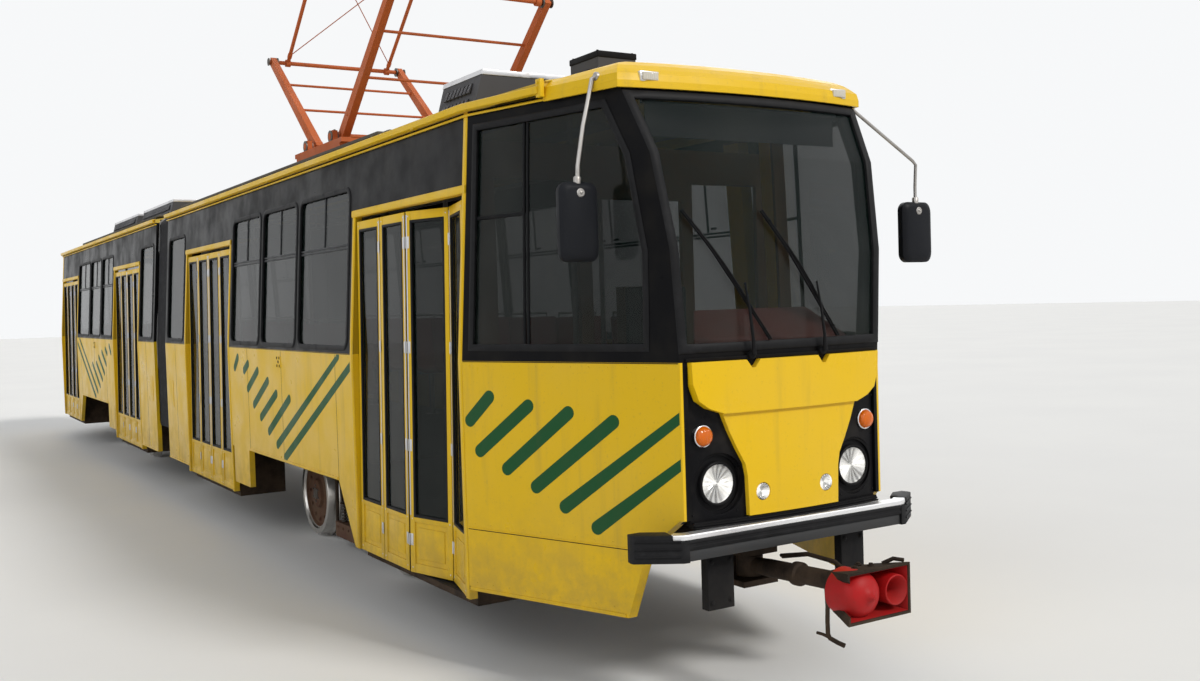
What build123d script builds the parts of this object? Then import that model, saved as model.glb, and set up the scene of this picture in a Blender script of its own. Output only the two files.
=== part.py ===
from build123d import *
import math
import os

# An articulated tram of two sections on two bogies, in millimetres.
# z = 0 is the rail head, x = 0 the centre plane and y = 0 the articulation pivot.
# The cab is at the low end of y and all doors are on the low side of x.

# Body
half_width = 1100
eave_half_width = 1015
skirt_z = 405
arch_z = 763
floor_z = 902
floor_thickness = 60
belt_z = 1630
eave_z = 2950
crown_z = 3100
wall = 45
glass = 6
glass_depth = 14
section_end_y = -300
cab_start_y = -7648
mask_foot_z = 870
window_foot_z = 1665
window_head_z = 2720
window_radius = 70
roof_cap_y = -8246
sill_depth = 82
buffer_beam_x = 400
deck_nose_y = -8860

# Articulation
gangway_half = 700
turntable_radius = 600
pivot_radius = 60
bellows_steps = 12
bellows_fold = 45
bellows_thickness = 12
bellows_foot_z = 700

# Bumper and coupler
bumper_front_y = -9055
bumper_back_y = -8965
bumper_foot_z = 735
bumper_head_z = 860
coupler_pivot_y = -8650
coupler_z = 560

# Cab outline by height: corner half-width, corner y, centre y, half-width where the cab starts
CAB_SECTIONS = [
    (1630, 628, -8958, -9005, 1100),
    (2150, 660, -8950, -9000, 1066),
    (2600, 698, -8870, -8930, 1037),
    (2950, 742, -8690, -8760, 1015),
]

# Bogies
bogie_centre_y = 4450
wheelbase = 1900
gauge = 1000
wheel_radius = 350
flange_depth = 20
tyre_width = 85
axle_radius = 65

# Doors
door_foot_z = 352
door_head_z = 2490
doorway_head_z = 2520
post_width = 50
leaf_gap = 10
leaf_thickness = 30
pivot_inset = 15
fold_pin_offset = 4
door_glass_foot_z = 690
door_stile = 45
door_top_rail = 60
door_outer_x = 1088
door_tilt = 1.31
ajar_angle = 15

# Lamps of one side: x, z, radius, back y, front y
LAMPS = [
    (430, 1055, 95, -8915, -8965),
    (515, 1285, 52, -8940, -8985),
    (200, 1000, 42, -8960, -9026),
    (600, 2976, 22, -8715, -8762),
]

# Rings of the moulded bowl round a headlamp: radius and the y of its floor
LAMP_BOWL = [(144, -8955), (131, -8941), (118, -8928), (105, -8915)]

# Front shield, its edge from the top down: half-width and height
SHIELD = [
    (590, 1630),
    (585, 1530),
    (555, 1450),
    (500, 1412),
    (420, 1385),
    (385, 1300),
    (340, 1210),
    (300, 1140),
    (288, 1080),
    (282, 893),
]
mask_half = 585
surround_depth = 14
shield_rise = 14
chest_foot_z = 1385
chest_rise = 32
notch_depth = 38
WIPER_BASES = (-250, 190)

# Bumper bands: low z, high z, how far the band stands back
BUMPER_BANDS = [(bumper_foot_z, 790, 12), (790, 833, 0), (833, bumper_head_z, 6)]

# The domed end of the roof: height, and how far the outline is moved in there
BROW = [(2950, -35), (2985, -27), (3010, -2), (3035, 28), (3060, 75), (3082, 160), (3101, 330)]
brow_lip_z = 2917
brow_lip_depth = -22
brow_room_depth = 110

# Coupler head
coupler_head_x = -45
coupler_head_z = 600
cone_x = -117
cup_x = 65

# The coupler's guide cone: where a step starts and ends along y, its radius at both
CONE_STEPS = [(-9440, -9540, 105, 105), (-9540, -9605, 105, 60), (-9605, -9650, 60, 12)]

# Passenger seats of a section, which face the cab: x and the y of the front edge
SEATS = [
    (750, -7000),
    (750, -6250),
    (750, -5500),
    (750, -4750),
    (750, -4000),
    (750, -3250),
    (750, -2500),
    (750, -1750),
    (-750, -5250),
    (-750, -4500),
    (-750, -3750),
]

# Hand poles of a section: x and y
STANCHIONS = [(-360, -5900), (-360, -2940), (-360, -7600), (-360, -1150), (330, -6800), (330, -2050)]

# Pantograph
panto_y = -4300
panto_base_half = 300
panto_arm = 1430
panto_angle = 39
panto_shaft_z = 3250
panto_half_width = 640
panto_bearing_x = 680
panto_insulator_x = 560
panto_foot_y = 520
panto_shaft_radius = 28
panto_pin_radius = 18
running_gap = 0.08
open_pivot_gap = 6

# Doorways of a section: name, and the outer edges of the posts along y
DOORWAYS = [("door_1", -7648, -5940), ("door_2", -2902, -1190)]
leaf_width = (DOORWAYS[0][2] - DOORWAYS[0][1] - 2 * post_width - 5 * leaf_gap) / 4

# Windows of a section's door side: start and end along y
DOOR_SIDE_WINDOWS = [(-5880, -4835), (-4765, -3885), (-3815, -2962), (-1130, -400)]
PLAIN_SIDE_WINDOWS = [
    (-7590, -6470),
    (-6400, -5280),
    (-5210, -4090),
    (-4020, -2900),
    (-2830, -1710),
    (-1640, -400),
]

os.makedirs("parts", exist_ok=True)


# Shapes

def block(x, y, z):
    """A box between the given limits."""
    centre = Pos((x[0] + x[1]) / 2, (y[0] + y[1]) / 2, (z[0] + z[1]) / 2)
    return centre * Box(x[1] - x[0], y[1] - y[0], z[1] - z[0])


def prism_x(points, x0, x1):
    """An outline of (y, z) points between two x places."""
    face = make_face(Polyline([Vector(x0, y, z) for y, z in points], close=True))
    return extrude(face, x1 - x0, dir=(1, 0, 0))


def prism_y(points, y0, y1):
    """An outline of (x, z) points between two y places."""
    face = make_face(Polyline([Vector(x, y0, z) for x, z in points], close=True))
    return extrude(face, y1 - y0, dir=(0, 1, 0))


def prism_z(points, z0, z1):
    """An outline of (x, y) points between two heights."""
    face = make_face(Polyline([Vector(x, y, z0) for x, y in points], close=True))
    return extrude(face, z1 - z0, dir=(0, 0, 1))


def rounded_x(y, z, x, radius):
    """A block through the side with rounded corners seen from the side."""
    middle = Plane.YZ.offset(x[0]) * Pos((y[0] + y[1]) / 2, (z[0] + z[1]) / 2)
    sketch = middle * RectangleRounded(y[1] - y[0], z[1] - z[0], radius)
    return extrude(sketch, x[1] - x[0], dir=(1, 0, 0))


def rounded_y(x, z, y, radius):
    """A block along the tram with rounded corners seen from the front."""
    middle = Location(((x[0] + x[1]) / 2, y[0], (z[0] + z[1]) / 2), (90, 0, 0))
    sketch = middle * RectangleRounded(x[1] - x[0], z[1] - z[0], radius)
    return extrude(sketch, y[1] - y[0], dir=(0, 1, 0))


def rod(start, end, radius):
    """A round bar from one point to another."""
    a = Vector(*start)
    b = Vector(*end)
    plane = Plane(origin=a, z_dir=b - a)
    return extrude(plane * Circle(radius), (b - a).length)


def cross_rod(x, place, length, radius):
    """A round bar across the tram, centred on x at a (y, z) place."""
    return Pos(x, *place) * Rot(0, 90, 0) * Cylinder(radius, length)


def save(name, *solids):
    """Writes one node from its solids."""
    pieces = []
    for solid in solids:
        pieces += solid.solids()
    shape = pieces[0] if len(pieces) == 1 else Compound(children=pieces)
    export_step(shape, f"parts/{name}.step")


def rear(*solids):
    """The same solids at the rear section."""
    return [mirror(solid, about=Plane.XZ) for solid in solids]


# Body shell

def side_x(z):
    """Half-width of the side wall's outer face at a height."""
    if z <= belt_z:
        return half_width
    share = (z - belt_z) / (eave_z - belt_z)
    return half_width + share * (eave_half_width - half_width)


def side_slab(side, near, far, y, z):
    """The part of a straight side between two depths under its outer face."""
    heights = [z[0], belt_z, z[1]] if z[0] < belt_z < z[1] else [z[0], z[1]]
    outer = [(side * (side_x(h) - near), h) for h in heights]
    inner = [(side * (side_x(h) - far), h) for h in reversed(heights)]
    return prism_y(outer + inner, y[0], y[1])


def cab_face(section, depth, start_y):
    """The cab's outline at one height, moved in by a depth."""
    z, corner_x, corner_y, centre_y, start_x = section
    slope = (start_x - corner_x) / (cab_start_y - corner_y)
    lean = math.sqrt(1 + slope * slope)
    start_x = corner_x + (start_y - corner_y) * slope - depth * lean
    corner_x = corner_x - depth * (lean - slope)
    corner_y = corner_y + depth
    centre_y = centre_y + depth
    front = ThreePointArc((-corner_x, corner_y, z), (0, centre_y, z), (corner_x, corner_y, z))
    back = Polyline(
        (corner_x, corner_y, z), (start_x, start_y, z), (-start_x, start_y, z), (-corner_x, corner_y, z)
    )
    return make_face(front + back)


def cab_solid(depth, low_z, high_z, start_y=cab_start_y):
    """The cab filled out to a depth under its outer face."""
    parts = []
    if low_z < belt_z:
        foot = (low_z,) + CAB_SECTIONS[0][1:]
        rise = min(high_z, belt_z) - low_z
        parts.append(extrude(cab_face(foot, depth, start_y), rise, dir=(0, 0, 1)))
    if high_z > belt_z:
        faces = [cab_face(section, depth, start_y) for section in CAB_SECTIONS]
        parts.append(loft(faces, ruled=True))
    return parts[0] if len(parts) == 1 else parts[0] + parts[1]


def windscreen_opening():
    """The windscreen's outline from the front, through the cab's face."""
    edge = [(section[1] - 22, section[0]) for section in CAB_SECTIONS]
    right = [(edge[0][0] + 4, 1692)] + edge[1:3] + [(edge[3][0] - 8, 2885)]
    left = [(-x, z) for x, z in reversed(right)]
    return prism_y(right + left, -9100, -8500)


def cab_window(side):
    """The cab's side window seen from the side, through the wall."""
    back = cab_start_y - 60
    outline = [(back, 1700), (-8790, 1700), (-8815, 2150), (-8740, 2600), (-8600, 2860), (back, 2860)]
    x = (550, 1200) if side > 0 else (-1200, -550)
    return prism_x(outline, x[0], x[1])


def make_cab_shell():
    """The cab's tapered sides, corner posts and window band."""
    inner = cab_solid(wall, skirt_z - 50, eave_z, cab_start_y + 1)
    shell = cab_solid(0, skirt_z, eave_z) - inner
    low = skirt_z - 10
    chin = [(-9200, 1600), (-9200, low), (-8645, low), (-8757, 743), (-8910, 880), (-8910, 1600)]
    shell -= prism_x(chin, -mask_half - 4, mask_half + 4)
    corner = [(-9200, 900), (-9200, low), (-8640, low), (-8757, 743), (-8935, 900)]
    shell -= prism_x(corner, -800, 800)
    shell -= windscreen_opening()
    for side in (-1, 1):
        shell -= cab_window(side)
    return shell


def cab_sheet(near, far):
    """The cab's skin above the belt between two depths."""
    return cab_solid(near, belt_z, eave_z) - cab_solid(far, belt_z - 1, eave_z, cab_start_y + 1)


def make_cab_glass():
    """The cab's two side panes."""
    sheet = cab_sheet(glass_depth, glass_depth + glass)
    return [sheet & cab_window(side) for side in (-1, 1)]


def make_windscreen():
    """The one-piece curved windscreen."""
    return cab_sheet(8, 16) & windscreen_opening()


def front_skin(near, far, low, high):
    """The cab's upright skin below the belt between two depths and two heights."""
    inner = cab_solid(far, low - 10, high + 10, cab_start_y + 1)
    return (cab_solid(near, low, high) - inner) & block((-800, 800), (-9200, -8870), (low, high))


def make_shield():
    """The waisted shield of the front, whose upper part stands proud of the lower."""
    outline = SHIELD + [(-x, z) for x, z in reversed(SHIELD)]
    shield = front_skin(-shield_rise, 40, SHIELD[-1][1], belt_z)
    shield += front_skin(-chest_rise, 40, chest_foot_z, belt_z)
    shield &= prism_y(outline, -9200, -8700)
    for x in WIPER_BASES:
        foot_z = belt_z - notch_depth
        notch = [(x - 40, belt_z + 1), (x + 40, belt_z + 1), (x + 10, foot_z), (x - 10, foot_z)]
        shield -= prism_y(notch, -9200, -8700)
    middle = block((-mask_half, mask_half), (-9200, -8700), (mask_foot_z, 1600))
    return shield - (cab_solid(-1, mask_foot_z, belt_z) - middle)


def make_mask():
    """The moulded surround with its lamp bowls, and the shield in its middle."""
    surround = front_skin(surround_depth, 90, mask_foot_z, belt_z)
    surround += front_skin(-8, 60, mask_foot_z, mask_foot_z + 12)
    surround &= block((-mask_half, mask_half), (-9200, -8700), (mask_foot_z, 1600))
    head_x, head_z = LAMPS[0][:2]
    for side in (-1, 1):
        for radius, floor_y in LAMP_BOWL:
            surround -= rod((side * head_x, -9200, head_z), (side * head_x, floor_y, head_z), radius)
    mask = surround + make_shield()
    for x, z, radius, back, _ in LAMPS[1:3]:
        for side in (-1, 1):
            mask -= rod((side * x, -9200, z), (side * x, back, z), radius)
    return mask


# Walls of a section

def door_wall():
    """The door side between the cab and the articulation."""
    y = (cab_start_y, section_end_y)
    shell = side_slab(-1, 0, wall, y, (door_foot_z, eave_z))
    x = (-1200, -900)
    for _, start, end in DOORWAYS:
        gap = [
            (start + post_width, door_foot_z - 5),
            (end - post_width, door_foot_z - 5),
            (end - post_width, doorway_head_z),
            (start + post_width, doorway_head_z),
        ]
        shell -= prism_x(gap, x[0], x[1])
    first_end = DOORWAYS[0][2]
    second_start, second_end = DOORWAYS[1][1:]
    arch = [
        (first_end + 20, door_foot_z - 5),
        (-5637, arch_z),
        (-3420, arch_z),
        (-3420, 450),
        (second_start - 50, 450),
        (second_start - 50, arch_z),
        (second_start, arch_z),
        (second_start, door_foot_z - 5),
    ]
    shell -= prism_x(arch, x[0], x[1])
    shell -= block(x, (second_end, section_end_y + 10), (door_foot_z - 5, skirt_z))
    for start, end in DOOR_SIDE_WINDOWS:
        shell -= rounded_x((start, end), (window_foot_z, window_head_z), x, window_radius)
    return shell


def plain_wall():
    """The side with no doors."""
    y = (cab_start_y, section_end_y)
    shell = side_slab(1, 0, wall, y, (skirt_z, eave_z))
    x = (900, 1200)
    arch = [(-5850, skirt_z - 5), (-5637, arch_z), (-3263, arch_z), (-3050, skirt_z - 5)]
    shell -= prism_x(arch, x[0], x[1])
    for start, end in PLAIN_SIDE_WINDOWS:
        shell -= rounded_x((start, end), (window_foot_z, window_head_z), x, window_radius)
    return shell


def side_panes(side, windows):
    """The panes of one side, each filling its window."""
    panes = []
    x = (900, 1200) if side > 0 else (-1200, -900)
    z = (window_foot_z, window_head_z)
    for start, end in windows:
        sheet = side_slab(side, glass_depth, glass_depth + glass, (start, end), z)
        panes.append(sheet & rounded_x((start, end), z, x, window_radius))
    return panes


def roof_profile(depth):
    """The roof's arched section, moved in by a depth."""
    edge_x = eave_half_width + 20 - depth
    side_z = eave_z + 35
    shoulder = (640, 3062 - depth)
    y = roof_cap_y
    right = (edge_x, y, eave_z)
    lip = (edge_x, y, side_z)
    bend = (shoulder[0], y, shoulder[1])
    top = ThreePointArc((-shoulder[0], y, shoulder[1]), (0, y, crown_z - depth), bend)
    outline = top + Polyline(
        bend, lip, right, (-edge_x, y, eave_z), (-edge_x, y, side_z), (-shoulder[0], y, shoulder[1])
    )
    return make_face(outline)


def make_roof():
    """The arched roof of a section, open below between its edges."""
    length = section_end_y - roof_cap_y
    skin = extrude(roof_profile(0), length, dir=(0, 1, 0))
    hollow = extrude(roof_profile(60), length, dir=(0, 1, 0))
    skin -= hollow
    taper = [
        (-1200, section_end_y),
        (-1200, cab_start_y),
        (-eave_half_width - 20, cab_start_y),
        (-910, roof_cap_y),
        (910, roof_cap_y),
        (eave_half_width + 20, cab_start_y),
        (1200, cab_start_y),
        (1200, section_end_y),
    ]
    return skin & prism_z(taper, eave_z - 50, crown_z + 50)


def make_roof_cap():
    """The moulded cap over the end of the roof, with its brow."""
    eave = CAB_SECTIONS[3][1:]
    dome = loft([cab_face((z,) + eave, depth, roof_cap_y) for z, depth in BROW], ruled=True)
    skin = extrude(Pos(0, -700, 0) * roof_profile(0), 700, dir=(0, 1, 0))
    hollow = extrude(Pos(0, -560, 0) * roof_profile(60), 560, dir=(0, 1, 0))
    room = extrude(cab_face((eave_z - 10,) + eave, brow_room_depth, roof_cap_y + 1), 200, dir=(0, 0, 1))
    cap = (skin & dome) - (hollow & room)
    lip = extrude(cab_face((brow_lip_z,) + eave, BROW[0][1], roof_cap_y), eave_z - brow_lip_z, dir=(0, 0, 1))
    lip -= extrude(cab_face((brow_lip_z - 1,) + eave, brow_lip_depth, roof_cap_y + 1), 60, dir=(0, 0, 1))
    x, z, radius, back, _ = LAMPS[3]
    cap += lip
    for side in (-1, 1):
        cap -= rod((side * x, -9200, z), (side * x, back, z), radius)
    return cap


# Floor and steps

def step_well(start, end):
    """The two steps inside a doorway."""
    under = floor_z - floor_thickness
    y = (start + post_width, end - post_width)
    treads = block((-1040, -640), y, (300, 336))
    treads += block((-660, -640), y, (300, 620))
    treads += block((-660, -360), y, (600, 620))
    treads += block((-380, -360), y, (600, under))
    for edge in ((y[0] - 20, y[0]), (y[1], y[1] + 20)):
        cheek = [(-1040, 300), (-640, 300), (-640, 600), (-360, 600), (-360, under), (-1040, under)]
        treads += prism_y(cheek, edge[0], edge[1])
    return treads


def make_underframe():
    """The floor with its sills, cross members, steps and the portal to the gangway."""
    inside = half_width - wall
    under = floor_z - floor_thickness
    low = under - sill_depth
    deck = block((-inside, inside), (cab_start_y, section_end_y), (under, floor_z))
    nose_face = cab_face((under,) + CAB_SECTIONS[0][1:], wall + 1, cab_start_y)
    nose = extrude(nose_face, floor_thickness, dir=(0, 0, 1))
    deck += nose & block((-inside, inside), (deck_nose_y, cab_start_y), (under, floor_z))
    for _, start, end in DOORWAYS:
        deck -= block((-1200, -380), (start + post_width, end - post_width), (700, 1000))
    deck += block((-inside, -inside + 60), (-5900, -2952), (low, under))
    deck += block((inside - 60, inside), (cab_start_y, section_end_y), (low, under))
    for side in (-1, 1):
        x = side * buffer_beam_x
        deck += block((x - 40, x + 40), (bumper_back_y, -7000), (low, under))
    deck += block((-buffer_beam_x, buffer_beam_x), (-8700, -8600), (low, under))
    for y in (-6450, -4450, -2300, -900):
        deck += block((-360, inside - 60), (y - 50, y + 50), (low, under))
    for _, start, end in DOORWAYS:
        deck += step_well(start, end)
    deck += portal()
    return deck


def portal():
    """The frame around the gangway at the end of a section."""
    outer = [(-1050, floor_z), (-1050, belt_z), (-970, 2900), (970, 2900), (1050, belt_z), (1050, floor_z)]
    low = floor_z - 10
    inner = [(-gangway_half, low), (-gangway_half, 2780), (gangway_half, 2780), (gangway_half, low)]
    y = (section_end_y - 50, section_end_y)
    return prism_y(outer, y[0], y[1]) - prism_y(inner, y[0] - 1, y[1] + 1)


def make_front_underframe():
    """The front floor, cut round for the turntable, with the pivot's socket below."""
    deck = make_underframe()
    deck -= Pos(0, 0, floor_z - 50) * Cylinder(turntable_radius + 15, 300)
    socket = Pos(0, 0, 730) * Cylinder(140, 120)
    for side in (-1, 1):
        socket += block((side * 100 - 40, side * 100 + 40), (-750, -80), (680, 780))
        deck += block((side * 100 - 40, side * 100 + 40), (-1000, -670), (680, floor_z - floor_thickness))
    socket -= Pos(0, 0, 730) * Cylinder(pivot_radius + running_gap, 140)
    return deck + socket


def make_rear_underframe():
    """The rear floor with the round turntable plate and the pivot pin."""
    deck = mirror(make_underframe(), about=Plane.XZ)
    deck += Pos(0, 0, floor_z - 20) * Cylinder(turntable_radius, 40)
    deck += block((-480, 480), (0, 700), (floor_z - floor_thickness, floor_z))
    deck += Pos(0, 0, 770) * Cylinder(pivot_radius, 220)
    return deck


def make_bellows():
    """The pleated cover of the articulation, open below."""
    outer = []
    inner = []
    pitch = 2 * -section_end_y / bellows_steps
    for step in range(bellows_steps + 1):
        y = section_end_y + step * pitch
        fold = bellows_fold if step % 2 else 0
        outer.append(bellows_face(y, fold))
        inner.append(bellows_face(y, fold + bellows_thickness, 50))
    solid = loft(outer, ruled=True) - loft(inner, ruled=True)
    return solid


def bellows_face(y, inset, drop=0):
    """The bellows' outline at one fold, moved in by an inset."""
    side = half_width - 40 - inset
    eave = eave_half_width - 40 - inset
    crown = crown_z - 50 - inset
    foot = bellows_foot_z - drop
    right = [(side, foot), (side, belt_z), (eave, eave_z - inset), (600, crown)]
    left = [(-x, z) for x, z in reversed(right)]
    return make_face(Polyline([Vector(x, y, z) for x, z in right + left], close=True))


# Doors

def leaf_plate():
    """One door leaf in its own plane: along x from its post edge, up z, its outer face at y = 0."""
    height = door_head_z - door_foot_z
    pane_x = (door_stile, leaf_width - door_stile)
    pane_z = (door_glass_foot_z - door_foot_z, height - door_top_rail)
    plate = block((0, leaf_width), (0, leaf_thickness), (0, height))
    plate -= block(pane_x, (-1, leaf_thickness * 0.4), pane_z)
    return plate - block(pane_x, (leaf_thickness * 0.6, leaf_thickness + 1), pane_z)


def place_leaves(start, end, ajar):
    """The four leaves of a doorway, named by their place, as two folding pairs."""
    leaves = {}
    opening = (end - post_width) - (start + post_width)
    gap = (opening - 4 * leaf_width) / 5
    tilt = Location((-door_outer_x, 0, door_foot_z), (0, door_tilt, 0))
    for pair, edge, way in (("front", start + post_width, 1), ("rear", end - post_width, -1)):
        fold = ajar if pair == "front" else 0
        pitch = leaf_width - pivot_inset + gap / 2
        turn = math.radians(fold)
        # The pair in its own plane: x along the doorway from the post, y inward
        outer = Pos(-pivot_inset, -pivot_inset, 0) * leaf_plate()
        outer = Rot(0, 0, fold) * outer
        pin_x = pitch * math.cos(turn) + (pivot_inset + fold_pin_offset) * math.sin(turn)
        pin_y = pitch * math.sin(turn) - (pivot_inset + fold_pin_offset) * math.cos(turn)
        inner = Pos(gap / 2, fold_pin_offset, 0) * leaf_plate()
        inner = Pos(pin_x, pin_y, 0) * Rot(0, 0, -fold) * inner
        for role, leaf in (("outer", outer), ("inner", inner)):
            # Doorway plane: local x goes along the tram, local y goes inward
            leaf = Pos(gap + pivot_inset, pivot_inset, 0) * leaf
            leaf = Rot(0, 0, -90) * mirror(leaf, about=Plane.YZ)
            if way < 0:
                leaf = mirror(leaf, about=Plane.XZ)
            leaf = tilt * leaf
            leaves[f"{pair}_{role}"] = Pos(0, edge, 0) * leaf
    return leaves


# Bogies

def make_wheelset(y):
    """An axle with its two flanged wheels and gear case hub."""
    axle = Pos(0, y, wheel_radius) * Rot(0, 90, 0) * Cylinder(axle_radius, gauge + 60)
    flange_face = gauge / 2 - 10
    for side in (-1, 1):
        profile = [
            (flange_face - 25, 0),
            (flange_face - 25, wheel_radius + flange_depth),
            (flange_face, wheel_radius + flange_depth),
            (flange_face + 10, wheel_radius),
            (flange_face + tyre_width, wheel_radius - 4),
            (flange_face + tyre_width, 300),
            (flange_face + 50, 280),
            (flange_face + 50, 130),
            (flange_face + tyre_width, 110),
            (flange_face + tyre_width, 0),
        ]
        face = make_face(Polyline([Vector(side * x, 0, r) for x, r in profile], close=True))
        wheel = revolve(face, Axis.X)
        axle += Pos(0, y, wheel_radius) * wheel
    return axle


def make_bogie_frame(y):
    """The welded frame between the wheels, with its bolster, motors and rail brakes."""
    frame = None
    for side in (-1, 1):
        x = side * 350
        beam = block((x - 50, x + 50), (y - 1300, y + 1300), (460, 570))
        for way in (-1, 1):
            axle_y = y + way * wheelbase / 2
            beam += block((x - 50, x + 50), (axle_y - 90, axle_y + 90), (270, 470))
        beam += block((side * 545 - 40, side * 545 + 40), (y - 420, y + 420), (70, 190))
        beam += block((side * 545 - 25, side * 545 + 25), (y - 40, y + 40), (180, 570))
        beam += block(sorted((side * 300, side * 570)), (y - 60, y + 60), (470, 570))
        frame = beam if frame is None else frame + beam
    for way in (-1, 1):
        frame += block((-400, 400), (y + way * 1260 - 40, y + way * 1260 + 40), (470, 560))
        frame += rod((-180, y + way * 420, 400), (180, y + way * 420, 400), 190)
        frame += block((-310, 310), (y + way * 420 - 60, y + way * 420 + 60), (500, 600))
    frame += block((-400, 400), (y - 160, y + 160), (460, 640))
    frame += Pos(0, y, 699) * Cylinder(260, 118)
    for axle_y in (y - wheelbase / 2, y + wheelbase / 2):
        frame -= rod((-500, axle_y, wheel_radius), (500, axle_y, wheel_radius), axle_radius + running_gap)
    return frame


# Pantograph

def panto_points():
    """Places of the shafts, knees and top pivots as (y, z) for the front and rear arms."""
    reach = panto_arm * math.cos(math.radians(panto_angle))
    rise = panto_arm * math.sin(math.radians(panto_angle))
    points = {}
    for name, way in (("front", -1), ("rear", 1)):
        shaft = (panto_y + way * panto_base_half, panto_shaft_z)
        knee = (shaft[0] + way * reach, shaft[1] + rise)
        top = (shaft[0], shaft[1] + 2 * rise)
        points[name] = (shaft, knee, top)
    return points


def make_lower_arm(name):
    """Two tapered arms on one shaft, joined by the knee rod."""
    shaft, knee, _ = panto_points()[name]
    arm = cross_rod(0, shaft, 2 * panto_bearing_x + 60, panto_shaft_radius)
    arm += cross_rod(0, knee, 2 * panto_half_width, panto_pin_radius)
    for side in (-1, 1):
        x = side * (panto_half_width - 40)
        along = (Vector(x, *knee) - Vector(x, *shaft)).normalized()
        start = Vector(x, *shaft) - along * 42
        end = Vector(x, *knee) + along * 24
        foot = Plane(origin=start, x_dir=(1, 0, 0), z_dir=along)
        head = Plane(origin=end, x_dir=(1, 0, 0), z_dir=along)
        arm += loft([foot * Rectangle(60, 90), head * Rectangle(50, 64)], ruled=True)
    return arm


def make_upper_arm(name):
    """Two thin tubes from the knee rod to the top rod, with an eye at each knee."""
    _, knee, top = panto_points()[name]
    x = panto_half_width - (110 if name == "front" else 170)
    arm = cross_rod(0, top, 2 * x + 50, panto_pin_radius)
    for side in (-1, 1):
        arm += rod((side * x, *knee), (side * x, *top), 16)
        arm += cross_rod(side * x, knee, 40, 32)
    return arm - cross_rod(0, knee, 2 * panto_half_width, panto_pin_radius + running_gap)


def make_head():
    """The two contact strips with down-turned horns on their carrier plates."""
    points = panto_points()
    top_z = points["front"][2][1]
    head = None
    for y in (panto_y - 230, panto_y + 230):
        strip = block((-500, 500), (y - 25, y + 25), (top_z + 90, top_z + 120))
        for side in (-1, 1):
            strip += rod((side * 490, y, top_z + 105), (side * 800, y, top_z - 20), 15)
        head = strip if head is None else head + strip
    for side in (-1, 1):
        x = side * 280
        plate = block((x - 8, x + 8), (panto_y - 350, panto_y + 350), (top_z - 40, top_z + 91))
        plate -= block((x - 9, x + 9), (panto_y - 200, panto_y + 200), (top_z - 41, top_z + 40))
        head += plate
    front_bore = points["front"][2]
    rear_bore = points["rear"][2]
    head -= cross_rod(0, front_bore, 700, panto_pin_radius + running_gap)
    head -= cross_rod(0, rear_bore, 700, panto_pin_radius + open_pivot_gap)
    return head


def make_panto_base():
    """The base frame on four insulators, with the shafts' bearings."""
    low = panto_shaft_z - 70
    high = panto_shaft_z - 35
    roof_foot = crown_z - 50
    frame = None
    for y in (panto_y - panto_foot_y, panto_y + panto_foot_y):
        bar = block((-panto_bearing_x - 30, panto_bearing_x + 30), (y - 40, y + 40), (low, high))
        for side in (-1, 1):
            bar += Pos(side * panto_insulator_x, y, (roof_foot + low) / 2) * Cylinder(45, low - roof_foot)
        frame = bar if frame is None else frame + bar
    for side in (-1, 1):
        x = side * panto_bearing_x
        frame += block((x - 30, x + 30), (panto_y - panto_foot_y, panto_y + panto_foot_y), (low - 40, high))
        for name in ("front", "rear"):
            shaft_y = panto_points()[name][0][0]
            frame += block((x - 20, x + 20), (shaft_y - 45, shaft_y + 45), (high, panto_shaft_z + 45))
    frame -= extrude(roof_profile(0), section_end_y - roof_cap_y, dir=(0, 1, 0))
    for name in ("front", "rear"):
        shaft = panto_points()[name][0]
        frame -= cross_rod(0, shaft, 2 * panto_bearing_x + 180, panto_shaft_radius + running_gap)
    return frame


# Front fittings

def make_bumper():
    """The bumper bar in bands, with its ends turned back round the corners."""
    bar = None
    for low, high, back in BUMPER_BANDS:
        outline = [
            (684 - back / 2, bumper_front_y + back),
            (882 - back, -8915 + back / 2),
            (874 - back, -8866),
            (812, -8862),
            (655, bumper_back_y),
        ]
        outline += [(-x, y) for x, y in reversed(outline)]
        band = prism_z(outline, low, high)
        bar = band if bar is None else bar + band
    for side in (-1, 1):
        bar += block(sorted((side * 345, side * 500)), (-8955, -8905), (460, bumper_foot_z))
    return bar


def make_lamps():
    """Headlamps, indicators, fog lamps and roof markers."""
    lamps = []
    for side in (-1, 1):
        for x, z, radius, back, front in LAMPS:
            lamps.append(rod((side * x, back, z), (side * x, front, z), radius))
    return lamps


def make_mirrors():
    """The mirror on each side with the rod that carries it."""
    left = rod((-800, -8560, 3010), (-885, -8600, 2745), 12)
    left += rod((-885, -8600, 2750), (-935, -8610, 2470), 12)
    left += rounded_y((-1040, -832), (2110, 2480), (-8640, -8585), 45)
    right = rod((790, -8640, 2925), (1310, -8620, 2645), 10)
    right += rod((1310, -8620, 2650), (1305, -8610, 2420), 10)
    right += rounded_y((1190, 1416), (2090, 2430), (-8640, -8580), 50)
    cap = make_roof_cap()
    return [left - cap, right - cap]


def make_wipers():
    """The two wiper arms with their blades, parked across the windscreen."""
    pieces = []
    for base_x in WIPER_BASES:
        arm = rod((base_x, -9035, 1690), (base_x - 30, -9040, 1980), 9)
        arm += rod((base_x, -9035, 1690), (base_x, -8990, 1640), 14)
        arm += rod((base_x - 330, -9030, 2330), (base_x + 120, -9042, 1720), 8)
        arm -= cab_solid(0, 1500, eave_z)
        pieces.append(arm)
    return pieces


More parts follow.
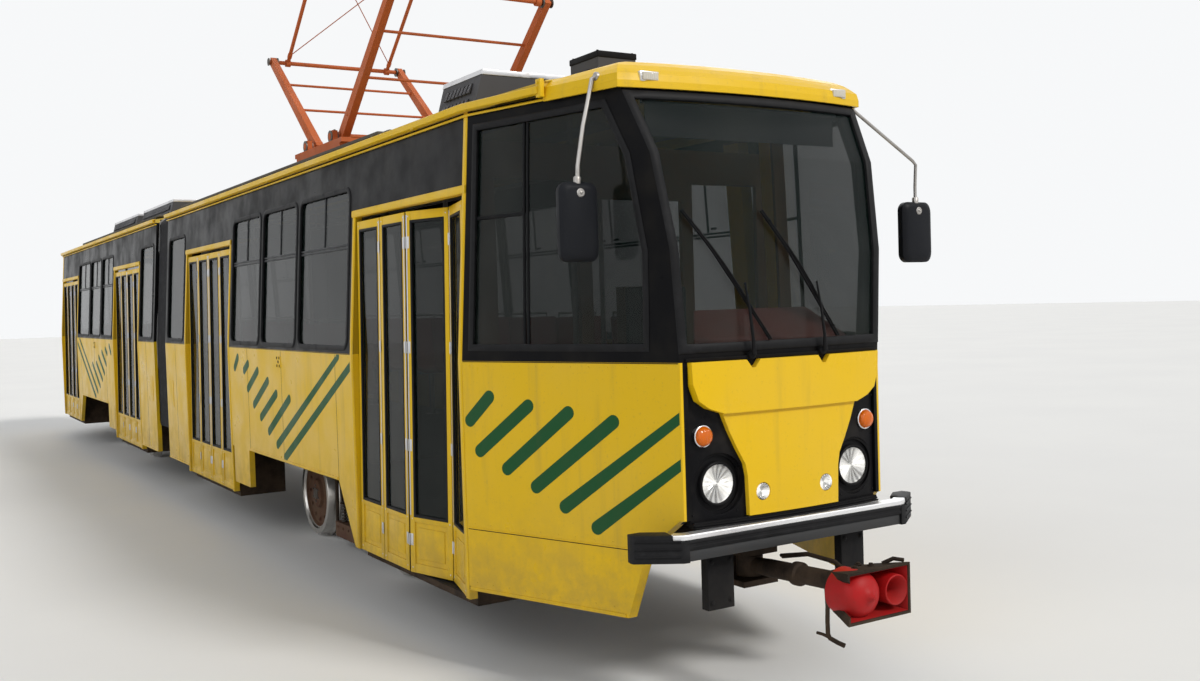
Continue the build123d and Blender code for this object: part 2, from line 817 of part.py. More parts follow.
def make_roof_boxes():
    """The equipment cover and the small box on the front roof."""
    cover = prism_y([(-620, 3000), (-520, 3360), (520, 3360), (620, 3000)], -6860, -6300)
    small = block((-130, 130), (-7560, -7250), (3060, 3370))
    shade = extrude(roof_profile(0), section_end_y - roof_cap_y, dir=(0, 1, 0))
    return [cover - shade, small - shade]


def make_rear_roof_boxes():
    """The resistor housings on the rear roof."""
    pieces = []
    for start, end in ((1500, 3300), (3700, 5500)):
        pieces.append(prism_y([(-640, 3000), (-560, 3330), (560, 3330), (640, 3000)], start, end))
    shade = mirror(extrude(roof_profile(0), section_end_y - roof_cap_y, dir=(0, 1, 0)), about=Plane.XZ)
    return [piece - shade for piece in pieces]


def make_coupler():
    """The drawbar with its flared head, cone, cup and hand lever."""
    bar = rod((0, coupler_pivot_y, coupler_z), (coupler_head_x / 2, -9400, coupler_head_z), 45)
    bar += Pos(0, coupler_pivot_y, coupler_z) * Cylinder(70, 110)
    bar -= Pos(0, coupler_pivot_y, coupler_z) * Cylinder(30 + running_gap, 120)
    bar += rod((-20, -9240, coupler_z), (-20, -9240, 310), 11)
    bar += rod((-20, -9232, 312), (20, -9320, 285), 11)
    head = flare(-9380, 220, 160, 380, 230)
    head -= flare(-9460, 200, 140, 356, 206)
    z = coupler_head_z
    head -= rod((cone_x, -9450, z), (cone_x, -9650, z), 112)
    for start, end, wide, narrow in CONE_STEPS:
        middle = Pos(cone_x, (start + end) / 2, z) * Rot(90, 0, 0)
        head += middle * (Cone(wide, narrow, start - end) if wide > narrow else Cylinder(wide, start - end))
    cup = rod((cup_x, -9440, z), (cup_x, -9596, z), 70)
    cup -= Pos(cup_x, -9545, z) * Rot(90, 0, 0) * Cone(20, 62, 110)
    return bar + head + cup


def flare(back_y, back_width, back_height, width, height):
    """The widening funnel of the coupler head, from a back plane to its mouth."""
    rings = []
    for y, across, up in ((back_y, back_width, back_height), (-9600, width, height)):
        left = coupler_head_x - across / 2
        right = coupler_head_x + across / 2
        low = coupler_head_z - up / 2
        high = coupler_head_z + up / 2
        ring = [Vector(left, y, low), Vector(right, y, low), Vector(right, y, high), Vector(left, y, high)]
        rings.append(make_face(Polyline(ring, close=True)))
    return loft(rings, ruled=True)


def make_coupler_socket():
    """The bracket under the front of the floor that carries the drawbar's pin."""
    low = floor_z - floor_thickness - sill_depth
    x = (-110, 110)
    y = (coupler_pivot_y - 90, coupler_pivot_y + 110)
    plates = block(x, y, (coupler_z + 62, low))
    plates += block(x, y, (coupler_z - 92, coupler_z - 62))
    plates += block(x, (y[1] - 20, y[1]), (coupler_z - 92, low))
    plates += Pos(0, coupler_pivot_y, coupler_z) * Cylinder(30, 184)
    return plates


def make_cab_interior():
    """The partition behind the driver, the desk and the driver's seat."""
    x = half_width - wall - 40
    partition = block((-x, x), (-7700, -7670), (floor_z, 2800))
    partition -= block((-300, 330), (-7710, -7660), (floor_z - 5, 2500))
    for start, end in ((-900, -380), (410, 900)):
        partition -= block((start, end), (-7710, -7660), (1650, 2600))
    partition &= cab_solid(wall + 5, floor_z - 10, eave_z)
    desk_top = [(-8800, 1600), (-8480, 1560), (-8440, 1480), (-8620, 1440)]
    desk = prism_x([(-8800, floor_z)] + desk_top + [(-8620, floor_z)], -520, 520)
    seat = block((-230, 230), (-8250, -7830), (1330, 1420)) + block((-210, 210), (-7880, -7800), (1400, 2000))
    seat += Pos(0, -8030, (floor_z + 1330) / 2) * Cylinder(60, 1330 - floor_z)
    front_pillar = cab_solid(wall + 5, floor_z, eave_z)
    front_pillar -= cab_solid(130, floor_z - 1, eave_z + 1, cab_start_y + 1)
    front_pillar &= block((600, 1200), (-7980, -7840), (floor_z, 2900))
    back_pillar = side_slab(1, wall + 5, 130, (-7550, -7410), (floor_z, 2900))
    return [partition, desk, seat, front_pillar, back_pillar]


def make_seats(table):
    """Passenger seats from a table of x and the y of the front edge."""
    seats = []
    for x, y in table:
        profile = [(0, 1300), (0, 1340), (400, 1360), (440, 1820), (470, 1820), (430, 1300)]
        shell = prism_x([(y + a, z) for a, z in profile], x - 215, x + 215)
        shell += Pos(x, y + 210, (floor_z + 1310) / 2) * Cylinder(40, 1310 - floor_z)
        seats.append(shell)
    return seats


def make_stanchions(places):
    """Upright hand poles between floor and ceiling."""
    return [rod((x, y, floor_z), (x, y, 2960), 17) for x, y in places]


def build_bogie(name, way):
    """Writes one bogie: its frame and its two wheelsets."""
    centre = way * bogie_centre_y
    save(f"{name}_bogie_frame", make_bogie_frame(centre))
    for role, shift in (("outer", way), ("inner", -way)):
        save(f"{name}_{role}_wheelset", make_wheelset(centre + shift * wheelbase / 2))


def build():
    """Makes and writes every node."""
    save("cab_shell", make_cab_shell())
    save("front_mask", make_mask())
    save("windscreen", make_windscreen())
    save("front_door_side_wall", door_wall())
    save("front_plain_side_wall", plain_wall())
    save("front_roof", make_roof())
    save("front_roof_cap", make_roof_cap())
    save("front_underframe", make_front_underframe() + make_coupler_socket())
    panes = side_panes(-1, DOOR_SIDE_WINDOWS) + side_panes(1, PLAIN_SIDE_WINDOWS) + make_cab_glass()
    save("front_side_glass", *panes)
    save("front_bumper", make_bumper())
    save("front_lamps", *make_lamps())
    save("mirrors", *make_mirrors())
    save("wipers", *make_wipers())
    save("front_roof_boxes", *make_roof_boxes())
    save("cab_interior", *make_cab_interior())
    save("front_seats", *make_seats(SEATS), *make_stanchions(STANCHIONS))
    save("front_coupler", make_coupler())
    save("bellows", make_bellows())

    save("rear_end_shell", *rear(make_cab_shell() + make_mask()))
    save("rear_windscreen", *rear(make_windscreen()))
    save("rear_door_side_wall", *rear(door_wall()))
    save("rear_plain_side_wall", *rear(plain_wall()))
    save("rear_roof", *rear(make_roof()))
    save("rear_roof_cap", *rear(make_roof_cap()))
    save("rear_underframe", make_rear_underframe() + mirror(make_coupler_socket(), about=Plane.XZ))
    save("rear_side_glass", *rear(*panes))
    save("rear_bumper", *rear(make_bumper()))
    save("rear_lamps", *rear(*make_lamps()))
    save("rear_roof_boxes", *make_rear_roof_boxes())
    save("rear_seats", *rear(*make_seats(SEATS), *make_stanchions(STANCHIONS)))
    save("rear_coupler", *rear(make_coupler()))

    for name, start, end in DOORWAYS:
        leaves = place_leaves(start, end, ajar_angle if name == "door_1" else 0)
        for place, leaf in leaves.items():
            save(f"{name}_{place}", leaf)
    for name, mirrored in (("door_4", 0), ("door_3", 1)):
        _, start, end = DOORWAYS[mirrored]
        for place, leaf in place_leaves(start, end, 0).items():
            save(f"{name}_{place}", *rear(leaf))

    build_bogie("front", -1)
    build_bogie("rear", 1)
    save("panto_base", make_panto_base())
    for name in ("front", "rear"):
        save(f"panto_lower_{name}", make_lower_arm(name))
        save(f"panto_upper_{name}", make_upper_arm(name))
    save("panto_head", make_head())


build()
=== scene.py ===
"""Finishes and fittings of an articulated tram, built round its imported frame."""
import math

import bmesh
import bpy
from mathutils import Matrix, Vector


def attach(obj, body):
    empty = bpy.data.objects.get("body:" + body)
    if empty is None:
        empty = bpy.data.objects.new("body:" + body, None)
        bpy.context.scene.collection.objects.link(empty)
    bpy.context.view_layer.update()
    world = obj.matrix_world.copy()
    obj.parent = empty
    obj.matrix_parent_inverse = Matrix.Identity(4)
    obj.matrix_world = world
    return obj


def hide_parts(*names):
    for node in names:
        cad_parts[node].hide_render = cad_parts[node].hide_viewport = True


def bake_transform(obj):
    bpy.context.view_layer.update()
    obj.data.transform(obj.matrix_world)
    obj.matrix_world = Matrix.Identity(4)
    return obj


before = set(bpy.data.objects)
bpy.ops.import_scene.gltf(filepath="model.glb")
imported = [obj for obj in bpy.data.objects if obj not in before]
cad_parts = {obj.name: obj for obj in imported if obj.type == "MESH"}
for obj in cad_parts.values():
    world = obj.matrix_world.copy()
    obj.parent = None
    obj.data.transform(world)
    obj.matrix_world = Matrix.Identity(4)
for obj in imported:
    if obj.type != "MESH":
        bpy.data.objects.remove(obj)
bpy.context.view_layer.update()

bl_info = {
    "name": "Articulated tram",
    "version": (1, 0, 0),
    "blender": (4, 5, 0),
    "location": "View3D > Sidebar > Tram",
    "description": "Dresses the frame of an articulated tram with its finishes and fittings",
    "category": "Object",
}

# Sizes that several pieces share, in metres
BELT_Z = 1.63
EAVE_Z = 2.95
HALF_WIDTH = 1.1
EAVE_HALF_WIDTH = 1.015
CAB_START_Y = -7.648
SECTION_END_Y = -0.3
FLOOR_Z = 0.902
POST = 0.05

# Doorways of the front section: name and the outer edges of the posts along y
DOORWAYS = [("door_1", -7.648, -5.94), ("door_2", -2.902, -1.19)]

# Windows of a section: start and end along y
WINDOW_FOOT_Z = 1.665
WINDOW_HEAD_Z = 2.72
WINDOW_RADIUS = 0.07
DOOR_SIDE_WINDOWS = [(-5.88, -4.835), (-4.765, -3.885), (-3.815, -2.962), (-1.13, -0.4)]
PLAIN_SIDE_WINDOWS = [
    (-7.59, -6.47),
    (-6.4, -5.28),
    (-5.21, -4.09),
    (-4.02, -2.9),
    (-2.83, -1.71),
    (-1.64, -0.4),
]

# Both sections: name and the sign that turns the front section's y into its own
SECTIONS = (("front", 1), ("rear", -1))

# Directions, and the signs of the two sides
X_AXIS, Y_AXIS, Z_AXIS = (1, 0, 0), (0, 1, 0), (0, 0, 1)
AHEAD = (0, -1, 0)
BOTH = (-1, 1)

# Smallest radius of a turned form, which stands for a point on its axis
LEAST_RADIUS = 1e-5

# Materials by the names that the pieces ask for
FINISHES = {}


class TramColours(bpy.types.PropertyGroup):
    """Colours of the tram's paints and coverings."""

    body: bpy.props.FloatVectorProperty(
        name="Body yellow", description="Paint of the body below the windows", subtype="COLOR",
        size=3, min=0, max=1, default=(0.78, 0.49, 0.003),
    )
    band: bpy.props.FloatVectorProperty(
        name="Window band", description="Paint of the band that holds the windows", subtype="COLOR",
        size=3, min=0, max=1, default=(0.005, 0.005, 0.006),
    )
    stripe: bpy.props.FloatVectorProperty(
        name="Stripes", description="Slanted stripes along the sides", subtype="COLOR",
        size=3, min=0, max=1, default=(0.005, 0.075, 0.018),
    )
    pantograph: bpy.props.FloatVectorProperty(
        name="Pantograph", description="Faded paint of the pantograph's arms", subtype="COLOR",
        size=3, min=0, max=1, default=(0.5, 0.12, 0.035),
    )
    coupler: bpy.props.FloatVectorProperty(
        name="Coupler face", description="Red paint of the coupler's cone and cup", subtype="COLOR",
        size=3, min=0, max=1, default=(0.42, 0.006, 0.008),
    )


class TramStage(bpy.types.PropertyGroup):
    """Camera and light of the studio stage."""

    lens: bpy.props.FloatProperty(
        name="Lens", description="Focal length of the camera", subtype="DISTANCE_CAMERA", default=34.83,
    )
    key_power: bpy.props.FloatProperty(
        name="Key light", description="Strength of the light from the front", default=1.9,
    )
    fill_power: bpy.props.FloatProperty(
        name="Fill lights", description="Strength of the lights from the left and the back", default=0.7,
    )
    sky: bpy.props.FloatProperty(
        name="Room light", description="Strength of the even light of the room", default=0.36,
    )


# Mesh building

# Faces of a block whose corners go round the foot and then round the head
CUBE_FACES = [(3, 2, 1, 0), (4, 5, 6, 7), (0, 1, 5, 4), (1, 2, 6, 5), (2, 3, 7, 6), (3, 0, 4, 7)]


def circle(centre, side, up, radius, count, turn=0.0):
    """Points round a centre in the plane of two directions, turned by a share of a step."""
    centre, side, up = Vector(centre), Vector(side), Vector(up)
    angles = [math.tau * (k + turn) / count for k in range(count)]
    return [centre + radius * (math.cos(angle) * side + math.sin(angle) * up) for angle in angles]


def part_way(start, end, share):
    """The place at a share of the way between two places."""
    return tuple(a + (b - a) * share for a, b in zip(start, end))


class Shape:
    """Grows one mesh out of boxes, tubes, turned forms, lofts and swept edges."""

    def __init__(self):
        self.mesh = bmesh.new()

    def faces(self, points, faces):
        """Adds faces that index a list of points, and returns the new vertices."""
        made = [self.mesh.verts.new(point) for point in points]
        for face in faces:
            self.mesh.faces.new([made[i] for i in face])
        return made

    def loft(self, rings, caps=True, closed=True):
        """Joins rings of equally many points with quads, and gives the last cap."""
        rows = [[self.mesh.verts.new(point) for point in ring] for ring in rings]
        count = len(rings[0])
        last = count if closed else count - 1
        for low, high in zip(rows, rows[1:]):
            for i in range(last):
                j = (i + 1) % count
                self.mesh.faces.new((low[i], low[j], high[j], high[i]))
        if caps:
            self.mesh.faces.new(rows[0][::-1])
            return self.mesh.faces.new(rows[-1])
        return None

    def strung(self, rings, closed):
        """Lofts rings, either round to the first again or with a cap at each end."""
        self.loft(rings + rings[:1] if closed else rings, caps=not closed)

    def box(self, low, high, edge=0.0):
        """A box between two corners, with its edges rounded."""
        x, y, z = zip(low, high)
        points = [Vector((x[i], y[j], z[k])) for k in (0, 1) for j in (0, 1) for i in (0, 1)]
        sides = [(0, 2, 3, 1), (4, 5, 7, 6), (0, 1, 5, 4), (2, 6, 7, 3), (0, 4, 6, 2), (1, 3, 7, 5)]
        made = self.faces(points, sides)
        if edge:
            self.round_edges(made, edge)

    def block(self, centre, half, edge=0.0):
        """A box from its centre and its half sizes."""
        self.box(centre - Vector(half), centre + Vector(half), edge)

    def pad(self, place, half, heights, edge=0.0):
        """A box from its x and y, its half sizes along them and its foot and head."""
        (x, y), (dx, dy), (foot, head) = place, half, heights
        self.box((x - dx, y - dy, foot), (x + dx, y + dy, head), edge)

    def round_edges(self, made, edge, segments=2):
        """Rounds all edges between the given vertices."""
        chosen = set(made)
        self.bevel(
            [e for e in self.mesh.edges if e.verts[0] in chosen and e.verts[1] in chosen], edge, segments,
        )

    def bevel(self, edges, width, segments=2):
        """Rounds some edges."""
        bmesh.ops.bevel(self.mesh, geom=edges, offset=width, segments=segments, profile=0.6, affect="EDGES")

    def tube(self, points, radius, sides=10):
        """A round bar along a line of points; radius is one value or one for each point."""
        points = [Vector(point) for point in points]
        radii = radius if isinstance(radius, (list, tuple)) else [radius] * len(points)
        rings = []
        side = None
        for i, point in enumerate(points):
            ahead = (points[min(i + 1, len(points) - 1)] - points[max(i - 1, 0)]).normalized()
            if side is None:
                side = ahead.orthogonal().normalized()
            side = (side - ahead * side.dot(ahead)).normalized()
            rings.append(circle(point, side, ahead.cross(side), radii[i], sides))
        self.loft(rings)

    def turned(self, start, axis, profile, sides=32, hollow=False):
        """A turned form from (distance along the axis, radius) pairs; hollow joins its two ends."""
        start = Vector(start)
        axis = Vector(axis).normalized()
        side = axis.orthogonal().normalized()
        up = axis.cross(side)
        rings = [
            circle(start + axis * a, side, up, max(radius, LEAST_RADIUS), sides) for a, radius in profile
        ]
        self.strung(rings, hollow)

    def disc(self, start, axis, radius, height, sides=24):
        """A plain round disc or pin."""
        self.turned(start, axis, [(0, radius), (height, radius)], sides)

    def sweep(self, path, normals, profile, closed=True):
        """A profile of (across, out) points carried along a path on a surface."""
        count = len(path)
        rings = []
        for i, point in enumerate(path):
            before = path[i - 1] if i or closed else point
            after = path[(i + 1) % count] if i < count - 1 or closed else point
            ahead = (after - before).normalized()
            out = normals[i] if isinstance(normals, list) else normals
            across = ahead.cross(out).normalized()
            first = (point - before).normalized() if (point - before).length else ahead
            lean = max(0.5, first.dot(ahead))
            rings.append([point + across * (a / lean) + out * o for a, o in profile])
        self.strung(rings, closed)

    def plate(self, outline, out, depth, edge=0.0):
        """A flat or curved plate: its outline's points moved by a depth along a direction."""
        low = [Vector(point) for point in outline]
        face = self.loft([low, [point + Vector(out) * depth for point in low]])
        if edge:
            self.bevel(list(face.edges), edge)

    def bolt(self, place, out, radius, height=None):
        """A hexagon head on a washer."""
        out = Vector(out).normalized()
        height = height or radius * 0.8
        self.disc(Vector(place) - out * height * 0.3, out, radius * 1.5, height * 0.5, 12)
        self.turned(Vector(place), out, [(0, radius), (height, radius), (height * 1.15, radius * 0.8)], 6)

    def rivet(self, place, out, radius):
        """A low domed rivet head."""
        dome = [(0, radius), (radius * 0.4, radius * 0.85), (radius * 0.65, radius * 0.4)]
        self.turned(Vector(place) - Vector(out) * radius * 0.2, out, dome, 8)

    def moved(self, matrix):
        """Carries the whole shape to another place."""
        bmesh.ops.transform(self.mesh, matrix=matrix, verts=self.mesh.verts)

    def mirror_y(self):
        """Turns the shape into its like at the other section."""
        for vertex in self.mesh.verts:
            vertex.co.y = -vertex.co.y

    def piece(self, name, finish, body, smooth=40):
        """Makes the mesh a piece that rides on a body, with edges sharp from the smoothing angle on."""
        bmesh.ops.remove_doubles(self.mesh, verts=self.mesh.verts, dist=1e-6)
        bmesh.ops.recalc_face_normals(self.mesh, faces=self.mesh.faces)
        data = bpy.data.meshes.new(name)
        self.mesh.to_mesh(data)
        self.mesh.free()
        for polygon in data.polygons:
            polygon.use_smooth = smooth > 0
        if smooth > 0:
            data.set_sharp_from_angle(angle=math.radians(smooth))
        data.materials.append(FINISHES[finish])
        made = bpy.data.objects.new(name, data)
        bpy.context.scene.collection.objects.link(made)
        if body:
            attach(made, body)
        return made


# Material building

class Finish:
    """One procedural material, put together by short calls."""

    def __init__(self, name, colour, roughness=0.5, metallic=0.0):
        self.material = bpy.data.materials.new(name)
        self.material.use_nodes = True
        self.tree = self.material.node_tree
        self.shader = self.tree.nodes["Principled BSDF"]
        self.place = self.tree.nodes.new("ShaderNodeTexCoord").outputs["Object"]
        self.colour = self.rgba(colour)
        self.shader.inputs["Roughness"].default_value = roughness
        self.shader.inputs["Metallic"].default_value = metallic
        self.material.diffuse_color = self.colour

    @staticmethod
    def rgba(colour):
        """A colour with its alpha."""
        return (colour[0], colour[1], colour[2], 1.0)

    def feed(self, socket, value):
        """Links or sets a socket."""
        if isinstance(value, bpy.types.NodeSocket):
            self.tree.links.new(value, socket)
        else:
            socket.default_value = value

    def add(self, kind, *values, **settings):
        """A node with its first inputs fed."""
        node = self.tree.nodes.new(kind)
        for key, value in settings.items():
            setattr(node, key, value)
        for socket, value in zip(node.inputs, values):
            if value is not None:
                self.feed(socket, value)
        return node

    def stretched(self, x, y, z):
        """Coordinates scaled along each axis."""
        node = self.add("ShaderNodeMapping", self.place)
        node.inputs["Scale"].default_value = (x, y, z)
        return node.outputs[0]

    def noise(self, scale, detail=4.0, rough=0.55, place=None):
        """Fractal noise between 0 and 1."""
        node = self.add("ShaderNodeTexNoise")
        self.feed(node.inputs["Vector"], place or self.place)
        node.inputs["Scale"].default_value = scale
        node.inputs["Detail"].default_value = detail
        node.inputs["Roughness"].default_value = rough
        return node.outputs["Fac"]

    def cells(self, scale):
        """Distance to scattered points."""
        node = self.add("ShaderNodeTexVoronoi", self.place)
        node.inputs["Scale"].default_value = scale
        return node.outputs["Distance"]

    def ramp(self, value, low, high, top=1.0, base=0.0):
        """Maps low..high smoothly onto base..top."""
        node = self.add("ShaderNodeMapRange", value, low, high, base, top, interpolation_type="SMOOTHSTEP")
        return node.outputs[0]

    def maths(self, operation, a, b=None, c=None):
        """One sum on values."""
        node = self.add("ShaderNodeMath", a, b, c, operation=operation)
        return node.outputs[0]

    def axis(self, letter):
        """One coordinate of the place."""
        return self.add("ShaderNodeSeparateXYZ", self.place).outputs[letter]

    def mix(self, share, a, b):
        """A colour between two."""
        node = self.tree.nodes.new("ShaderNodeMix")
        node.data_type = "RGBA"
        self.feed(node.inputs["Factor"], share)
        self.feed(node.inputs["A"], a if isinstance(a, bpy.types.NodeSocket) else self.rgba(a))
        self.feed(node.inputs["B"], b if isinstance(b, bpy.types.NodeSocket) else self.rgba(b))
        return node.outputs["Result"]

    def both(self, a, b):
        """The product of two masks."""
        return self.maths("MULTIPLY", a, b)

    def step(self, value, limit, soft=0.0005):
        """0 below a limit and 1 above it."""
        return self.ramp(value, limit - soft, limit + soft)

    def between(self, value, low, high, soft):
        """1 where a value lies between two limits."""
        return self.both(self.step(value, low, soft), self.ramp(value, high - soft, high + soft, 0.0, 1.0))

    def bumps(self, *layers, edge=0.0):
        """Bump from (height, strength, distance) layers, over rounded edges."""
        normal = None
        if edge:
            node = self.tree.nodes.new("ShaderNodeBevel")
            node.samples = 4
            node.inputs["Radius"].default_value = edge
            normal = node.outputs[0]
        for height, strength, distance in layers:
            node = self.tree.nodes.new("ShaderNodeBump")
            node.inputs["Strength"].default_value = strength
            node.inputs["Distance"].default_value = distance
            self.feed(node.inputs["Height"], height)
            if normal is not None:
                self.feed(node.inputs["Normal"], normal)
            normal = node.outputs[0]
        self.feed(self.shader.inputs["Normal"], normal)

    def gloss(self, level):
        """How strongly the surface mirrors."""
        self.feed(self.shader.inputs["Specular IOR Level"], level)

    def dents(self, depth, peel, edge):
        """The soft dents and fine orange peel of old enamel."""
        self.bumps((self.noise(0.9, 2), depth, 0.01), (self.noise(260, 2), peel, 0.001), edge=edge)

    def dulled(self, rough, smooth):
        """A roughness that changes in patches."""
        return self.ramp(self.noise(3.5, 7), 0.3, 0.75, rough, smooth)

    def done(self, colour, roughness=None):
        """Feeds the colour and roughness, and gives the material."""
        self.feed(self.shader.inputs["Base Color"], colour)
        if roughness is not None:
            self.feed(self.shader.inputs["Roughness"], roughness)
        return self.material


# Dust, the heights between which it thins out, and how strongly light and dark enamel mirror
DUST_COLOUR = (0.16, 0.12, 0.08)
DUST_FOOT_Z = 0.4
DUST_HEAD_Z = 1.3
GLOSS = 0.22
DARK_GLOSS = 0.06


def weathered(finish, colour, grime=0.35, dust=DUST_COLOUR):
    """A colour with faded patches, streaks and dirt that thickens downwards."""
    patches = finish.ramp(finish.noise(1.3, 5), 0.35, 0.75)
    mean = sum(colour[:3]) / 3
    faded = finish.mix(finish.both(patches, 0.25), colour, [0.8 * c + 0.2 * mean for c in colour[:3]])
    streaks = finish.ramp(finish.noise(2.2, 6, place=finish.stretched(6, 6, 0.45)), 0.52, 0.8)
    streaked = finish.mix(finish.both(streaks, grime * 0.55), faded, dust)
    low = finish.ramp(finish.axis("Z"), DUST_FOOT_Z, DUST_HEAD_Z, 0.0, 1.0)
    spray = finish.both(finish.both(low, low), finish.ramp(finish.noise(7, 8, 0.65), 0.25, 0.7))
    sprayed = finish.mix(finish.both(spray, grime), streaked, dust)
    specks = finish.ramp(finish.noise(70, 3), 0.62, 0.7)
    return finish.mix(finish.both(specks, grime * 0.35), sprayed, dust)


def paint(name, colour, roughness=0.32, grime=0.35, edge=0.004, dust=DUST_COLOUR):
    """Old enamel paint on sheet metal."""
    finish = Finish(name, colour, roughness)
    shade = weathered(finish, finish.rgba(colour), grime, dust)
    finish.dents(0.25, 0.06, edge)
    finish.gloss(DARK_GLOSS if max(colour) < 0.02 else GLOSS)
    return finish.done(shade, finish.dulled(roughness + 0.22, roughness))


def rubber(name, colour=(0.01, 0.01, 0.011), roughness=0.62):
    """Aged black rubber with chalky marks."""
    finish = Finish(name, colour, roughness)
    chalk = finish.ramp(finish.noise(14, 7, 0.6), 0.45, 0.8)
    grey = finish.mix(finish.both(chalk, 0.35), colour, [c * 3 + 0.012 for c in colour])
    finish.gloss(0.12)
    finish.bumps((finish.noise(180, 4), 0.25, 0.001))
    return finish.done(grey, finish.ramp(chalk, 0, 1, roughness + 0.15, roughness - 0.1))


def metal(name, colour, roughness=0.35, brushed=False, grime=0.3):
    """Bare or plated metal with stains, brushed along x if asked."""
    finish = Finish(name, colour, roughness, 1.0)
    stretch = (0.3, 12, 12) if brushed else (6, 6, 6)
    grain = finish.noise(40, 4, place=finish.stretched(*stretch))
    stains = finish.ramp(finish.noise(9, 7, 0.62), 0.45, 0.75)
    tone = finish.mix(finish.both(grain, 0.35), colour, [c * 0.55 for c in colour])
    tone = finish.mix(finish.both(stains, grime), tone, (0.1, 0.07, 0.05))
    finish.bumps((grain, 0.12, 0.001), edge=0.002)
    return finish.done(tone, finish.ramp(stains, 0, 1, min(1, roughness + 0.3), roughness))


# Stage

STAGE_FLOOR_Z = -0.02
STAGE_SIZE = 240.0
CAMERA_PLACE = (-3.745, -13.256, 1.922)
CAMERA_YAW = 32.066
CAMERA_PITCH = -1.916
CAMERA_ROLL = -1.789


def aimed(place, target):
    """The turn that points an object's -Z from a place at a target."""
    return (Vector(target) - Vector(place)).to_track_quat("-Z", "Y").to_euler()


def stage_camera(lens):
    """The camera off the front corner, near eye height."""
    yaw, pitch, roll = (math.radians(a) for a in (CAMERA_YAW, CAMERA_PITCH, CAMERA_ROLL))
    ahead = Vector((math.sin(yaw) * math.cos(pitch), math.cos(yaw) * math.cos(pitch), math.sin(pitch)))
    right = Vector((math.cos(yaw), -math.sin(yaw), 0))
    up = right.cross(ahead)
    turned_right = math.cos(roll) * right + math.sin(roll) * up
    turned_up = math.cos(roll) * up - math.sin(roll) * right
    data = bpy.data.cameras.new("camera")
    data.lens = lens
    data.clip_end = 300
    camera = bpy.data.objects.new("camera", data)
    axes = Matrix((turned_right, turned_up, -ahead)).transposed().to_4x4()
    camera.matrix_world = Matrix.Translation(CAMERA_PLACE) @ axes
    bpy.context.scene.collection.objects.link(camera)
    bpy.context.scene.camera = camera


def soft_light(name, place, spread, power, colour):
    """Even light from one side, softened over an angle."""
    data = bpy.data.lights.new(name, "SUN")
    data.angle = math.radians(spread)
    data.energy = power
    data.color = colour
    lamp = bpy.data.objects.new(name, data)
    lamp.location = place
    lamp.rotation_euler = aimed(place, (0, 0, 0))
    bpy.context.scene.collection.objects.link(lamp)


def pale_floor():
    """A plain pale floor that shows near white to the camera and keeps the shadow."""
    finish = Finish("pale_floor", (0.8, 0.8, 0.79), 0.75)
    tone = finish.mix(finish.ramp(finish.noise(0.35, 4), 0.2, 0.8), (0.8, 0.8, 0.79), (0.77, 0.77, 0.765))
    return finish.done(tone)


class TRAM_OT_stage(bpy.types.Operator):
    """Adds the floor, the light and the camera"""

    bl_idname = "tram.stage"
    bl_label = "Stage"

    def execute(self, context):
        settings = context.scene.tram_stage
        half = STAGE_SIZE / 2
        data = bpy.data.meshes.new("floor")
        corners = [(-half, -half), (half, -half), (half, half), (-half, half)]
        data.from_pydata([(x, y, STAGE_FLOOR_Z) for x, y in corners], [], [(0, 1, 2, 3)])
        data.materials.append(pale_floor())
        floor = bpy.data.objects.new("floor", data)
        context.scene.collection.objects.link(floor)
        stage_camera(settings.lens)
        soft_light("key", (7, -17, 15), 14, settings.key_power, (1.0, 0.975, 0.93))
        soft_light("fill", (-16, -6, 10), 50, settings.fill_power, (0.94, 0.97, 1.0))
        soft_light("back", (9, 18, 12), 50, settings.fill_power, (0.96, 0.98, 1.0))
        world = bpy.data.worlds.new("room")
        context.scene.world = world
        world.use_nodes = True
        nodes, links = world.node_tree.nodes, world.node_tree.links
        sky = nodes["Background"]
        sky.inputs["Color"].default_value = (1, 1, 1, 1)
        sky.inputs["Strength"].default_value = settings.sky
        seen = nodes.new("ShaderNodeBackground")
        seen.inputs["Color"].default_value = (0.93, 0.94, 0.95, 1)
        paths = nodes.new("ShaderNodeLightPath")
        mixed = nodes.new("ShaderNodeMixShader")
        either, shown = nodes.new("ShaderNodeMath"), nodes.new("ShaderNodeMath")
        either.operation = shown.operation = "MAXIMUM"
        for source, target in (
            (paths.outputs["Is Glossy Ray"], either.inputs[0]),
            (paths.outputs["Is Transmission Ray"], either.inputs[1]),
            (paths.outputs["Is Camera Ray"], shown.inputs[0]),
            (either.outputs[0], shown.inputs[1]),
            (shown.outputs[0], mixed.inputs[0]),
            (sky.outputs[0], mixed.inputs[1]),
            (seen.outputs[0], mixed.inputs[2]),
            (mixed.outputs[0], nodes["World Output"].inputs["Surface"]),
        ):
            links.new(source, target)
        context.scene.view_settings.view_transform = "Standard"
        return {"FINISHED"}


# Finishes

# How far the shield and the dark surround lie in front of the cab's front, and the shield's foot
SHIELD_REACH = -0.011
SURROUND_REACH = -0.051
SHIELD_FOOT_Z = 0.893
SURROUND_HALF_WIDTH = 0.61375
FRONT_CENTRE_Y = 9.005
FRONT_BOW = 0.1192


def front_reach(finish):
    """How far a place lies in front of the cab's curved front below the belt."""
    across = finish.axis("X")
    along = finish.maths("ABSOLUTE", finish.axis("Y"))
    bow = finish.both(finish.both(across, across), FRONT_BOW)
    return finish.maths("ADD", finish.maths("SUBTRACT", along, FRONT_CENTRE_Y), bow)


def on_shield(finish):
    """1 on the shield that stands proud of the front."""
    proud = finish.step(front_reach(finish), SHIELD_REACH)
    return finish.both(proud, finish.step(finish.axis("Z"), SHIELD_FOOT_Z))


